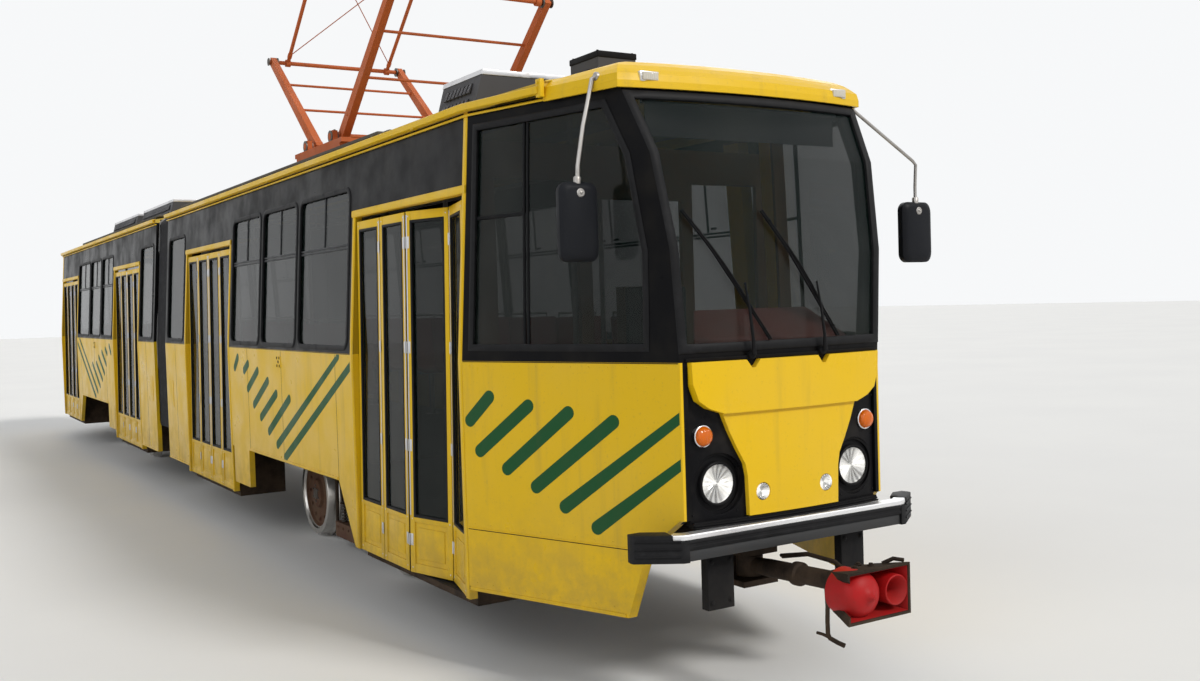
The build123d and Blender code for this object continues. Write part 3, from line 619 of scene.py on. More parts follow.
def mask_paint(name, colours):
    """Yellow on the shield that stands proud, black on the surround behind it."""
    finish = Finish(name, colours.body, 0.28)
    yellow = weathered(finish, finish.rgba(colours.body), 0.3)
    black = finish.mix(finish.ramp(finish.noise(6, 6), 0.4, 0.8), (0.006, 0.006, 0.007), (0.02, 0.018, 0.017))
    finish.dents(0.2, 0.05, 0.005)
    shield = on_shield(finish)
    finish.gloss(finish.ramp(shield, 0, 1, GLOSS, DARK_GLOSS))
    return finish.done(finish.mix(shield, black, yellow), finish.dulled(0.46, 0.25))


def body_paint(name, colours, posts=(), shield=False):
    """Yellow enamel below the belt, a black window band above, black round the front shield."""
    finish = Finish(name, colours.body, 0.3)
    yellow = weathered(finish, finish.rgba(colours.body), 0.38)
    ahead = finish.step(front_reach(finish), SURROUND_REACH, 0.001)
    outside = finish.step(finish.maths("ABSOLUTE", finish.axis("X")), SURROUND_HALF_WIDTH, 0.00075)
    dark = finish.both(ahead, finish.maths("SUBTRACT", 1.0, outside))
    if shield:
        dark = finish.both(dark, finish.maths("SUBTRACT", 1.0, on_shield(finish)))
    height = finish.axis("Z")
    along = finish.axis("Y")
    band = finish.step(height, BELT_Z, 0.001)
    for start, end, low, high in posts:
        post = finish.both(
            finish.between(along, start, end, 0.0005), finish.between(height, low, high, 0.0005),
        )
        band = finish.both(band, finish.maths("SUBTRACT", 1.0, post))
    band = finish.maths("MAXIMUM", band, dark)
    black = finish.mix(finish.ramp(finish.noise(5, 6), 0.4, 0.8), colours.band, (0.012, 0.011, 0.01))
    shade = finish.mix(band, yellow, black)
    finish.gloss(finish.ramp(band, 0, 1, DARK_GLOSS, GLOSS))
    finish.feed(finish.shader.inputs["Coat Weight"], finish.ramp(band, 0, 1, 0.0, 0.06))
    finish.shader.inputs["Coat Roughness"].default_value = 0.1
    finish.dents(0.25, 0.05, 0.004)
    return finish.done(shade, finish.dulled(0.5, 0.27))


def glass_finish(name, tint, solid):
    """Tinted window glass with faint dust and wipe marks; solid is the share of the light it stops."""
    finish = Finish(name, tint, 0.03)
    dust = finish.ramp(finish.noise(2.5, 6, 0.6, finish.stretched(1, 1, 0.6)), 0.4, 0.85)
    finish.feed(finish.shader.inputs["Alpha"], finish.ramp(dust, 0, 1, min(1.0, solid + 0.06), solid))
    finish.gloss(GLOSS)
    finish.bumps((finish.noise(0.7, 1), 0.04, 0.01))
    shade = finish.mix(finish.both(dust, 0.05), tint, (0.36, 0.35, 0.31))
    return finish.done(shade, finish.ramp(dust, 0, 1, 0.1, 0.03))


def lens_finish(name, tint, clear=0.0):
    """Fluted lamp glass with dust in its ribs, which lets a share of the light through."""
    finish = Finish(name, tint, 0.06)
    ribs = finish.maths("SINE", finish.maths("MULTIPLY", finish.axis("X"), 520.0))
    dust = finish.ramp(finish.noise(30, 5), 0.4, 0.8)
    finish.feed(finish.shader.inputs["Alpha"], finish.ramp(dust, 0, 1, 1.0 - clear * 0.92, 1.0 - clear))
    finish.bumps((ribs, 0.35, 0.002), (finish.cells(140), 0.2, 0.001))
    shade = finish.mix(finish.both(dust, 0.2), tint, [c * 0.6 for c in tint])
    return finish.done(shade, finish.ramp(dust, 0, 1, 0.18, 0.05))


def reflector_finish(name, centre):
    """A lamp's bowl with painted highlights: its flutes glow in two opposite sectors round its centre, and in
    the sectors between they are painted dark as painted shade.
    """
    finish = Finish(name, (0.96, 0.96, 0.94), 0.24, 0.45)
    across = finish.maths("SUBTRACT", finish.maths("ABSOLUTE", finish.axis("X")), centre[0])
    height = finish.maths("SUBTRACT", finish.axis("Z"), centre[1])
    angle = finish.maths("ARCTAN2", height, across)
    flutes = finish.ramp(finish.maths("SINE", finish.maths("MULTIPLY", angle, 16.0)), -0.7, 0.7, 1.0, 0.45)
    swing = finish.maths("SINE", finish.maths("MULTIPLY_ADD", angle, 2.0, 0.9))
    # Painted highlight: the sectors where the flutes glow by emission, though the lamp is not lit
    highlight_sectors = finish.ramp(swing, -0.8, 0.3, 0.36, 0.0)
    # Painted shade: the sectors where the flutes are mixed towards near black
    dark = finish.ramp(swing, -0.1, 0.85, 0.0, 0.86)
    finish.shader.inputs["Emission Color"].default_value = (1.0, 0.97, 0.92, 1)
    finish.feed(finish.shader.inputs["Emission Strength"], finish.both(flutes, highlight_sectors))
    stains = finish.ramp(finish.noise(30, 5), 0.5, 0.8)
    finish.bumps((finish.noise(60, 3), 0.1, 0.001))
    colour = finish.mix(finish.both(stains, 0.2), finish.colour, (0.6, 0.58, 0.52))
    # The flutes of the shade sectors are darkened here as painted shade
    return finish.done(finish.mix(finish.both(flutes, dark), colour, (0.06, 0.06, 0.065)))


def make_finishes(colours):
    """Makes every material that more than one piece shares."""
    posts = []
    for _, start, end in DOORWAYS:
        posts.append((start, start + POST, BELT_Z, 2.565))
        posts.append((end - POST, end, BELT_Z, 2.565))
        posts.append((start, end, 2.515, 2.565))
    posts.append((CAB_START_Y, CAB_START_Y + POST, 2.5, EAVE_Z))
    rear_posts = [(-b, -a, low, high) for a, b, low, high in posts]
    FINISHES.update(
        yellow=paint("yellow_enamel", colours.body, 0.28),
        roof=paint("roof_enamel", (0.62, 0.43, 0.06), 0.5, 0.75, dust=(0.1, 0.08, 0.06)),
        body=body_paint("body_enamel", colours),
        rear_end=body_paint("rear_end_enamel", colours, shield=True),
        mask=mask_paint("front_shield_enamel", colours),
        front_door_side=body_paint("front_door_side_enamel", colours, posts),
        rear_door_side=body_paint("rear_door_side_enamel", colours, rear_posts),
        black=paint("black_enamel", (0.01, 0.01, 0.011), 0.38, 0.3, dust=(0.045, 0.04, 0.035)),
        frame=paint("frame_enamel", (0.018, 0.014, 0.012), 0.65, 0.9, dust=(0.075, 0.052, 0.036)),
        bogie=paint("bogie_enamel", (0.09, 0.035, 0.02), 0.7, 0.9, dust=(0.13, 0.08, 0.05)),
        grey=paint("grey_enamel", (0.062, 0.062, 0.068), 0.5, 0.45, dust=(0.09, 0.08, 0.07)),
        orange=paint("faded_orange", colours.pantograph, 0.55, 0.55, edge=0.003, dust=(0.16, 0.07, 0.04)),
        rubber=rubber("aged_rubber"),
        steel=metal("plain_steel", (0.42, 0.4, 0.38), 0.4),
        tread=metal("rolled_tread", (0.55, 0.53, 0.5), 0.28),
        chrome=metal("bright_plate", (0.8, 0.8, 0.8), 0.12, grime=0.1),
        # The headlamp and fog lamp bowls carry painted highlights and painted shade round each lamp's centre
        reflector=reflector_finish("headlamp_reflector", (0.43, 1.055)),
        fog_reflector=reflector_finish("fog_reflector", (0.2, 1.0)),
        bright=metal("bright_strip", (0.88, 0.88, 0.89), 0.42, brushed=True, grime=0.12),
        aluminium=metal("brushed_strip", (0.66, 0.66, 0.67), 0.3, brushed=True, grime=0.2),
        glass=glass_finish("tinted_glass", (0.003, 0.007, 0.006), 0.62),
        screen=glass_finish("windscreen_glass", (0.003, 0.009, 0.008), 0.38),
        red=paint("red_enamel", colours.coupler, 0.38, 0.35, dust=(0.07, 0.035, 0.025)),
        stripe=paint("green_stripe", colours.stripe, 0.4, 0.22, dust=(0.07, 0.08, 0.03)),
        bumper_grey=paint("bumper_grey_enamel", (0.036, 0.038, 0.041), 0.45, 0.4, dust=(0.06, 0.05, 0.04)),
        mirror_case=paint("mirror_case_enamel", (0.014, 0.015, 0.018), 0.3, 0.25, dust=(0.05, 0.05, 0.05)),
        lamp_glass=lens_finish("fluted_lens", (0.9, 0.9, 0.87), 0.92),
        frosted=lens_finish("frosted_lens", (0.62, 0.58, 0.49), 0.05),
        amber=lens_finish("amber_lens", (0.88, 0.18, 0.002), 0.3),
        wood=paint("painted_boards", (0.1, 0.095, 0.085), 0.75, 0.8, dust=(0.05, 0.045, 0.04)),
        ceramic=paint("glazed_ceramic", (0.17, 0.055, 0.025), 0.15, 0.3),
        carbon=rubber("carbon_strip", (0.018, 0.018, 0.02), 0.45),
        dark_steel=metal("dark_steel", (0.13, 0.12, 0.11), 0.5, grime=0.6),
        desk=paint("desk_vinyl", (0.3, 0.11, 0.095), 0.55, 0.2),
        laminate=paint("lining_laminate", (0.24, 0.13, 0.06), 0.5, 0.25),
        ceiling=paint("ceiling_panel", (0.3, 0.28, 0.24), 0.6, 0.2),
        seat=paint("seat_shell", (0.36, 0.055, 0.045), 0.42, 0.2),
        fabric=rubber("bellows_fabric", (0.045, 0.045, 0.048), 0.8),
    )


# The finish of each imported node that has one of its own; names without a section stand for both ends' nodes
NODE_FINISH = {
    "cab_shell": "body", "rear_end_shell": "rear_end", "front_door_side_wall": "front_door_side",
    "rear_door_side_wall": "rear_door_side", "plain_side_wall": "body", "front_mask": "mask",
    "roof": "roof", "roof_cap": "yellow", "windscreen": "screen", "side_glass": "glass",
    "underframe": "frame", "bumper": "rubber", "lamps": "chrome", "mirrors": "black", "wipers": "black",
    "roof_boxes": "grey", "cab_interior": "laminate", "seats": "seat", "bellows": "fabric",
    "panto_base": "orange", "coupler": "frame",
}


def node_finish(node):
    """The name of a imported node's finish."""
    for name in (node, node.removeprefix("front_").removeprefix("rear_")):
        if name in NODE_FINISH:
            return NODE_FINISH[name]
    if node.startswith("door_"):
        return "yellow"
    if "wheelset" in node or "bogie" in node:
        return "bogie"
    if node.startswith("panto"):
        return "orange"
    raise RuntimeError(f"no finish is given for node {node}")


class TRAM_OT_finishes(bpy.types.Operator):
    """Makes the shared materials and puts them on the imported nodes"""

    bl_idname = "tram.finishes"
    bl_label = "Finishes"

    def execute(self, context):
        make_finishes(context.scene.tram_colours)
        for name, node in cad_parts.items():
            node.data.materials.clear()
            node.data.materials.append(FINISHES[node_finish(name)])
        return {"FINISHED"}


# Places on the body's surface

# Sections of the cab at some heights: height, corner half-width, corner y, centre y, half-width at its start
CAB_SECTIONS = [
    (1.63, 0.628, -8.958, -9.005, 1.1),
    (2.15, 0.66, -8.95, -9.0, 1.066),
    (2.6, 0.698, -8.87, -8.93, 1.037),
    (2.95, 0.742, -8.69, -8.76, 1.015),
]


def cab_section(z):
    """Corner half-width, corner y, centre y and half-width at the cab's start, at a height."""
    if z <= CAB_SECTIONS[0][0]:
        return CAB_SECTIONS[0][1:]
    for low, high in zip(CAB_SECTIONS, CAB_SECTIONS[1:]):
        if z <= high[0]:
            return part_way(low[1:], high[1:], (z - low[0]) / (high[0] - low[0]))
    return CAB_SECTIONS[-1][1:]


def front_place(x, z):
    """A point on the cab's curved front."""
    corner_x, corner_y, centre_y, _ = cab_section(z)
    return Vector((x, centre_y + (corner_y - centre_y) * (x / corner_x) ** 2, z))


def cab_place(side, y, z):
    """A point on the cab's tapered side."""
    corner_x, corner_y, _, start_x = cab_section(z)
    slope = (start_x - corner_x) / (CAB_START_Y - corner_y)
    return Vector((side * (corner_x + (y - corner_y) * slope), y, z))


def side_place(side, y, z):
    """A point on the straight side of a section."""
    share = max(0.0, (z - BELT_Z) / (EAVE_Z - BELT_Z))
    return Vector((side * (HALF_WIDTH + share * (EAVE_HALF_WIDTH - HALF_WIDTH)), y, z))


class Skin:
    """A surface of the body that pieces are laid on, addressed by two coordinates."""

    def __init__(self, place, outward):
        self.place = place
        self.outward = Vector(outward)

    def normal(self, a, b):
        """The way out of the surface."""
        step = 0.003
        along = self.place(a + step, b) - self.place(a - step, b)
        up = self.place(a, b + step) - self.place(a, b - step)
        normal = along.cross(up).normalized()
        return normal if normal.dot(self.outward) > 0 else -normal

    def at(self, a, b, out=0.0):
        """A point over the surface."""
        return self.place(a, b) + self.normal(a, b) * out


FRONT = Skin(front_place, AHEAD)
CAB_SIDE = {side: Skin(lambda y, z, s=side: cab_place(s, y, z), (side, 0, 0)) for side in BOTH}
SIDE = {side: Skin(lambda y, z, s=side: side_place(s, y, z), (side, 0, 0)) for side in BOTH}


def laid(shape, skin, outline, thickness, sunk=0.001):
    """A thin plate that lies on a skin, from its outline in the skin's coordinates."""
    low = [skin.at(a, b, -sunk) for a, b in outline]
    high = [skin.at(a, b, thickness) for a, b in outline]
    shape.loft([low, high])


def trim(shape, skin, path, profile, closed=True, out=0.0):
    """A profile carried along a path on a skin."""
    shape.sweep([skin.at(a, b, out) for a, b in path], [skin.normal(a, b) for a, b in path], profile, closed)


def line_trim(shape, skin, points, longest, profile, out=0.0):
    """A profile carried along an open line on a skin, in steps no longer than asked."""
    trim(shape, skin, divided(points, longest, closed=False), profile, False, out)


def long_bar(shape, outline, ends, side=1):
    """A straight bar along y between two ends, from its outline in x and z."""
    shape.loft([[Vector((side * x, y, z)) for x, z in outline] for y in ends])


def divided(points, longest, closed=True):
    """A path with points added so that no step is longer than asked."""
    result = []
    count = len(points)
    for i in range(count if closed else count - 1):
        a, b = points[i], points[(i + 1) % count]
        steps = max(1, math.ceil(math.dist(a, b) / longest))
        result += [part_way(a, b, k / steps) for k in range(steps)]
    return result if closed else result + [points[-1]]


def rounded_box_path(a, b, radius, steps=5):
    """The outline of a rectangle with round corners, from its limits."""
    points = []
    corners = [(a[1], b[1], 0), (a[0], b[1], 1), (a[0], b[0], 2), (a[1], b[0], 3)]
    for x, y, turn in corners:
        x += radius * (1 if x == a[0] else -1)
        y += radius * (1 if y == b[0] else -1)
        for k in range(steps + 1):
            angle = math.pi / 2 * (turn + k / steps)
            points.append((x + radius * math.cos(angle), y + radius * math.sin(angle)))
    return points


def patch(start, end, low, high):
    """The outline of a plain rectangle from its limits."""
    return [(start, low), (end, low), (end, high), (start, high)]


def capsule(start, end, half, steps=8):
    """The outline of a stripe with round ends between two places."""
    start, end = Vector(start), Vector(end)
    ahead = (end - start).normalized()
    side = Vector((-ahead.y, ahead.x))
    points = []
    for centre, sign in ((end, 1), (start, -1)):
        for k in range(steps + 1):
            angle = math.pi * k / steps - math.pi / 2
            points.append(centre + sign * half * (math.cos(angle) * ahead + math.sin(angle) * side))
    return points


def ring_profile(half, height, sunk=0.004):
    """The section of a flat strip with rounded shoulders, as (across, out) pairs."""
    return [
        (-half, -sunk), (half, -sunk), (half, height * 0.4), (half * 0.7, height), (-half * 0.7, height),
        (-half, height * 0.4),
    ]


def both_ends(build, finish, body="section", node=None, smooth=40, name=None):
    """One piece for each section, the rear one mirrored, named after its builder unless a name is given.

    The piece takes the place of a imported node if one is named.
    """
    name = name or build.__name__
    for section, sign in SECTIONS:
        shape = Shape()
        build(shape)
        if sign < 0:
            shape.mirror_y()
        made = shape.piece(f"{section}_{name}", finish, f"{section}_{body}", smooth)
        if node:
            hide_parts(f"{section}_{node}")


# Stripes

# Stripes of the cab's side and of the panel between the doors: y and z of the lower and upper end
CAB_STRIPES = [
    ((-7.69, 1.315), (-7.826, 1.444)),
    ((-7.752, 1.157), (-8.08, 1.405)),
    ((-7.93, 1.074), (-8.327, 1.379)),
    ((-8.114, 0.995), (-8.589, 1.345)),
    ((-8.29, 0.909), (-8.975, 1.375)),
    ((-8.478, 0.823), (-8.975, 1.16)),
]
PANEL_STRIPES = [
    ((-3.073, 1.451), (-3.178, 1.542)),
    ((-3.365, 1.435), (-3.489, 1.496)),
    ((-3.466, 1.287), (-3.766, 1.447)),
    ((-3.631, 1.162), (-4.043, 1.375)),
    ((-3.821, 1.07), (-4.261, 1.284)),
    ((-4.032, 0.972), (-4.593, 1.262)),
    ((-4.249, 0.884), (-5.701, 1.615)),
    ((-4.434, 0.8), (-6.006, 1.547)),
]
STRIPE_HALF_WIDTH = 0.034
STRIPE_THICKNESS = 0.0008


def cab_stripes(shape):
    """Stripes of the cab's side."""
    for side in BOTH:
        for start, end in CAB_STRIPES:
            outline = [(max(p.x, -8.95), p.y) for p in capsule(start, end, STRIPE_HALF_WIDTH)]
            laid(shape, CAB_SIDE[side], outline, STRIPE_THICKNESS)


def panel_stripes(shape):
    """Stripes of the panel between the doors."""
    for start, end in PANEL_STRIPES:
        points = capsule(start, end, STRIPE_HALF_WIDTH)
        outline = [(max(p.x, -5.932), min(p.y, 1.622)) for p in points]
        laid(shape, SIDE[-1], outline, STRIPE_THICKNESS)


class TRAM_OT_stripes(bpy.types.Operator):
    """Lays the slanted stripes on the cab's sides and the door side's panels"""

    bl_idname = "tram.stripes"
    bl_label = "Stripes"

    def execute(self, context):
        both_ends(cab_stripes, "stripe", smooth=0)
        both_ends(panel_stripes, "stripe", smooth=0)
        return {"FINISHED"}


# Windows

# Outline of the cab's side window: y and z
CAB_WINDOW = [(-7.708, 1.7), (-8.79, 1.7), (-8.815, 2.15), (-8.74, 2.6), (-8.6, 2.86), (-7.708, 2.86)]
# Side windows: which side, and start and end along y
WINDOW_PLACES = [(-1, span) for span in DOOR_SIDE_WINDOWS] + [(1, span) for span in PLAIN_SIDE_WINDOWS]
# The narrowest window that has a top light
TOP_LIGHT_WIDTH = 0.8
# The windscreen's edge on one side: x and z
WINDSCREEN_EDGE = [(0.61, 1.692), (0.638, 2.15), (0.676, 2.6), (0.712, 2.885)]


def window_rubbers(shape):
    """Rubbers round all panes."""
    for side, span in WINDOW_PLACES:
        path = rounded_box_path(span, (WINDOW_FOOT_Z, WINDOW_HEAD_Z), WINDOW_RADIUS)
        trim(shape, SIDE[side], path, ring_profile(0.017, 0.006, 0.01))
    for side in BOTH:
        trim(shape, CAB_SIDE[side], divided(CAB_WINDOW, 0.15), ring_profile(0.018, 0.007, 0.01))
    screen = WINDSCREEN_EDGE + [(-x, z) for x, z in reversed(WINDSCREEN_EDGE)]
    trim(shape, FRONT, divided(screen, 0.08), ring_profile(0.022, 0.009, 0.01))


def window_bars(shape):
    """Bars and catches of the top lights."""
    for side, span in WINDOW_PLACES:
        if span[1] - span[0] < TOP_LIGHT_WIDTH:
            continue
        middle = (span[0] + span[1]) / 2
        for z in (2.33, 2.352):
            line_trim(
                shape, SIDE[side], [(span[0] + 0.02, z), (span[1] - 0.02, z)], 0.3,
                ring_profile(0.007, 0.004, 0.004), -0.012,
            )
        line_trim(
            shape, SIDE[side], [(middle, 2.36), (middle, 2.7)], 0.2, ring_profile(0.01, 0.005, 0.004), -0.012,
        )
        for y in (middle - 0.09, middle + 0.09):
            shape.block(SIDE[side].at(y, 2.385, -0.034), (0.01, 0.022, 0.008), 0.003)


def cab_window_bars(shape):
    """Bars of the cab's side window."""
    for side in BOTH:
        for y in (-8.06, -8.085):
            line_trim(
                shape, CAB_SIDE[side], [(y, 1.72), (y, 2.84)], 0.2, ring_profile(0.008, 0.004, 0.004), -0.011,
            )
        line_trim(
            shape, CAB_SIDE[side], [(-7.72, 2.38), (-8.06, 2.38)], 0.2, ring_profile(0.009, 0.004, 0.004),
            -0.011,
        )


class TRAM_OT_windows(bpy.types.Operator):
    """Sets the rubbers, top lights and catches of all windows"""

    bl_idname = "tram.windows"
    bl_label = "Windows"

    def execute(self, context):
        both_ends(window_rubbers, "rubber")
        both_ends(window_bars, "bumper_grey")
        both_ends(cab_window_bars, "black")
        return {"FINISHED"}


# Doors

LEAF_WIDTH = 0.3895
LEAF_HEIGHT = 2.138
LEAF_DEPTH = 0.03
LEAF_GAP = 0.01
PIVOT_INSET = 0.015
FOLD_PIN_OFFSET = 0.004
DOOR_FOOT_Z = 0.352
DOOR_X = -1.088
DOOR_TILT = math.radians(1.31)
AJAR = math.radians(15)
STILE = 0.045
LIGHT_FOOT = 0.338
LIGHT_HEAD = 2.078


def leaf_matrix(start, end, pair, role, fold):
    """Places a leaf's own plane (x from its post edge, y inward, z up) in its doorway."""
    if role == "outer":
        leaf = Matrix.Rotation(fold, 4, "Z") @ Matrix.Translation((-PIVOT_INSET, -PIVOT_INSET, 0))
    else:
        pitch = LEAF_WIDTH - PIVOT_INSET + LEAF_GAP / 2
        drop = PIVOT_INSET + FOLD_PIN_OFFSET
        pin_x = pitch * math.cos(fold) + drop * math.sin(fold)
        pin_y = pitch * math.sin(fold) - drop * math.cos(fold)
        shift = Matrix.Translation((LEAF_GAP / 2, FOLD_PIN_OFFSET, 0))
        leaf = Matrix.Translation((pin_x, pin_y, 0)) @ Matrix.Rotation(-fold, 4, "Z") @ shift
    leaf = Matrix.Translation((LEAF_GAP + PIVOT_INSET, PIVOT_INSET, 0)) @ leaf
    swap = Matrix(((0, 1, 0, 0), (1, 0, 0, 0), (0, 0, 1, 0), (0, 0, 0, 1)))
    if pair == "rear":
        swap = Matrix.Scale(-1, 4, Y_AXIS) @ swap
    edge = start + POST if pair == "front" else end - POST
    return Matrix.Translation((DOOR_X, edge, DOOR_FOOT_Z)) @ Matrix.Rotation(DOOR_TILT, 4, "Y") @ swap @ leaf


def leaf_panel(shape):
    """The stiles, rails and pressed kick panel of one leaf."""
    inner, outer = STILE, LEAF_WIDTH - STILE
    for low, high in ((0, inner), (outer, LEAF_WIDTH)):
        shape.box((low, 0, 0), (high, LEAF_DEPTH, LEAF_HEIGHT), 0.003)
    for low, high in ((0, 0.055), (0.3, LIGHT_FOOT), (LIGHT_HEAD, LEAF_HEIGHT)):
        shape.box((inner - 0.001, 0.001, low), (outer + 0.001, LEAF_DEPTH - 0.001, high), 0.003)
    shape.box((inner - 0.001, 0.008, 0.05), (outer + 0.001, 0.022, 0.305))
    shape.box((inner + 0.03, 0.003, 0.085), (outer - 0.03, 0.012, 0.27), 0.004)


def leaf_seals(shape):
    """The glass rubber on both faces and the soft edges of one leaf."""
    corners = [
        (STILE, LIGHT_FOOT), (LEAF_WIDTH - STILE, LIGHT_FOOT), (LEAF_WIDTH - STILE, LIGHT_HEAD),
        (STILE, LIGHT_HEAD),
    ]
    for y, out in ((0.002, -1), (LEAF_DEPTH - 0.002, 1)):
        path = [Vector((x, y, z)) for x, z in divided(corners, 0.4)]
        shape.sweep(path, Vector((0, out, 0)), ring_profile(0.009, 0.004, 0.01))
    for low, high in ((-0.004, 0.0), (LEAF_WIDTH, LEAF_WIDTH + 0.004)):
        shape.box((low, 0.004, 0.004), (high, LEAF_DEPTH - 0.004, LEAF_HEIGHT - 0.004), 0.0012)
    shape.box((0.004, 0.008, -0.002), (LEAF_WIDTH - 0.004, 0.022, 0.001), 0.0008)


def leaf_metal(shape):
    """The hinge knuckles, the bright edge strip and the screws of one leaf."""
    for z in (0.16, 0.72, 1.3, 1.92):
        shape.tube([(LEAF_WIDTH + 0.001, -0.0035, z), (LEAF_WIDTH + 0.001, -0.0035, z + 0.07)], 0.0035, 8)
        shape.box((LEAF_WIDTH - 0.03, -0.0015, z), (LEAF_WIDTH - 0.002, 0.001, z + 0.07), 0.0006)
    shape.box((LEAF_WIDTH - 0.013, -0.002, 0.34), (LEAF_WIDTH - 0.003, 0.001, LEAF_HEIGHT - 0.02), 0.0008)
    for x in (0.022, LEAF_WIDTH - 0.022):
        for z in (0.03, 0.32, LEAF_HEIGHT - 0.03):
            shape.rivet((x, 0, z), AHEAD, 0.005)


def leaf_glass(shape):
    """The pane of one leaf, let into its rubber."""
    low = (STILE - 0.006, 0.012, LIGHT_FOOT - 0.006)
    shape.box(low, (LEAF_WIDTH - STILE + 0.006, 0.018, LIGHT_HEAD + 0.006))


# Parts of a leaf: name, builder, finish and smoothing angle
LEAF_PARTS = [
    ("panel", leaf_panel, "yellow", 40), ("seals", leaf_seals, "rubber", 40), (
        "metal", leaf_metal, "aluminium", 40,
    ),
    ("glass", leaf_glass, "glass", 0),
]


def door_leaf(leaf, place):
    """The parts of one leaf, carried to its doorway."""
    for part, build, finish, smooth in LEAF_PARTS:
        shape = Shape()
        build(shape)
        shape.moved(place)
        made = shape.piece(f"{leaf}_{part}", finish, leaf, smooth)
        if part == "panel":
            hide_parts(leaf)


class TRAM_OT_doors(bpy.types.Operator):
    """Builds the sixteen folding door leaves"""

    bl_idname = "tram.doors"
    bl_label = "Doors"

    def execute(self, context):
        doors = [(name, start, end, 1) for name, start, end in DOORWAYS]
        doors += [("door_4", *DOORWAYS[0][1:], -1), ("door_3", *DOORWAYS[1][1:], -1)]
        for name, start, end, sign in doors:
            for pair in ("front", "rear"):
                fold = AJAR if (name, pair) == ("door_1", "front") else 0.0
                for role in ("outer", "inner"):
                    place = leaf_matrix(start, end, pair, role, fold)
                    if sign < 0:
                        place = Matrix.Scale(-1, 4, Y_AXIS) @ place
                    door_leaf(f"{name}_{pair}_{role}", place)
        return {"FINISHED"}


# Lamps

LAMP_PLACES = {"head": (0.43, 1.055, -8.915), "turn": (0.515, 1.285, -8.94), "fog": (0.2, 1.0, -8.948)}
MARKER = (0.6, 2.972, -8.7)

# Turned forms of the lamps: distance ahead of the lamp's place, and radius
BOWL_SHELL = [(0, 0.0), (0, 0.095), (0.044, 0.095), (0.044, 0.0905)]
BOWL = [(0.0425, 0.09), (0.0395, 0.084), (0.037, 0.072), (0.0355, 0.055), (0.0345, 0.035), (0.034, 0.014)]
BULB = [(0.03, 0.0145), (0.035, 0.0145), (0.036, 0.02), (0.038, 0.02), (0.0395, 0.014), (0.04, 0.0)]
BOWL_RIM = 0.092
BOWL_SIDES = 64
BOWL_FLUTES = 16
FLUTE_DEPTH = 0.0024
# Other parts: name, finish, which lamp, whether it is a hollow ring, and its turned form
LAMP_PARTS = [
    ("headlamp_lenses", "lamp_glass", "head", False, [
        (0.046, 0.0), (0.045, 0.05), (
            0.0435, 0.089,
        ), (0.047, 0.091), (0.054, 0.07), (0.059, 0.04), (0.06, 0.0),
    ]),
    ("headlamp_bezels", "black", "head", True, [
        (0.03, 0.096), (0.034, 0.104), (0.05, 0.104), (0.054, 0.098), (0.05, 0.091), (0.046, 0.091),
    ]),
    ("indicator_bases", "chrome", "turn", False, [
        (0, 0.0518), (0.034, 0.0518), (0.036, 0.047), (0.033, 0.044), (0.0, 0.044),
    ]),
    ("indicator_lenses", "amber", "turn", False, [
        (0.01, 0.0455), (0.04, 0.0455), (0.052, 0.04), (0.061, 0.026), (0.064, 0.0),
    ]),
    ("fog_bases", "fog_reflector", "fog", False, [
        (0, 0.0415), (
            0.058, 0.0415,
        ), (0.066, 0.039), (0.068, 0.034), (0.06, 0.032), (0.05, 0.02), (0.048, 0.0),
    ]),
    ("fog_lenses", "lamp_glass", "fog", False, [
        (0.058, 0.0), (0.058, 0.033), (0.064, 0.034), (0.071, 0.02), (0.073, 0.0),
    ]),
]


def lamp_pair(shape, kind, profile, hollow):
    """The same turned form on both lamps of a kind."""
    x, z, y = LAMP_PLACES[kind]
    for side in BOTH:
        shape.turned((side * x, y, z), AHEAD, profile, 40, hollow)


def headlamp_bowls(shape):
    """Fluted headlamp bowls with their bulbs."""
    x, z, y = LAMP_PLACES["head"]
    for side in BOTH:
        rings = []
        for along, radius in BOWL_SHELL + BOWL:
            swell = math.sin(math.pi * min(1, radius / BOWL_RIM)) if (along, radius) in BOWL else 0.0
            ring = circle((side * x, y - along, z), X_AXIS, Z_AXIS, radius, BOWL_SIDES)
            for k, point in enumerate(ring):
                point.y -= FLUTE_DEPTH * swell * math.sin(math.tau * k / BOWL_SIDES * BOWL_FLUTES)
            rings.append(ring)
        shape.loft(rings)
        shape.turned((side * x, y, z), AHEAD, BULB, 24)


def marker_cases(shape):
    """Cases of the roof's marker lamps."""
    x, z, y = MARKER
    for side in BOTH:
        shape.block(Vector((side * x, y - 0.03, z)), (0.055, 0.02, 0.026), 0.01)
        for shift in (-0.046, 0.046):
            shape.rivet((side * x + shift, y - 0.05, z), AHEAD, 0.005)


def marker_lenses(shape):
    """Lenses of the roof's marker lamps."""
    x, z, y = MARKER
    for side in BOTH:
        shape.block(Vector((side * x, y - 0.053, z)), (0.044, 0.007, 0.019), 0.006)


class TRAM_OT_lamps(bpy.types.Operator):
    """Builds headlamps, indicators, fog lamps and roof markers"""

    bl_idname = "tram.lamps"
    bl_label = "Lamps"

    def execute(self, context):
        both_ends(headlamp_bowls, "reflector", node="lamps", smooth=25)
        for name, finish, kind, hollow, profile in LAMP_PARTS:
            both_ends(lambda shape: lamp_pair(shape, kind, profile, hollow), finish, name=name)
        both_ends(marker_cases, "aluminium")
        both_ends(marker_lenses, "frosted")
        return {"FINISHED"}


# Bumper

BUMPER_OUTLINE = [(0.84, -8.948), (0.74, -9.0213), (0.7, -9.05), (0.672, -9.055)]
BUMPER_CAP_X = 0.69
BUMPER_STRIP_X = 0.745


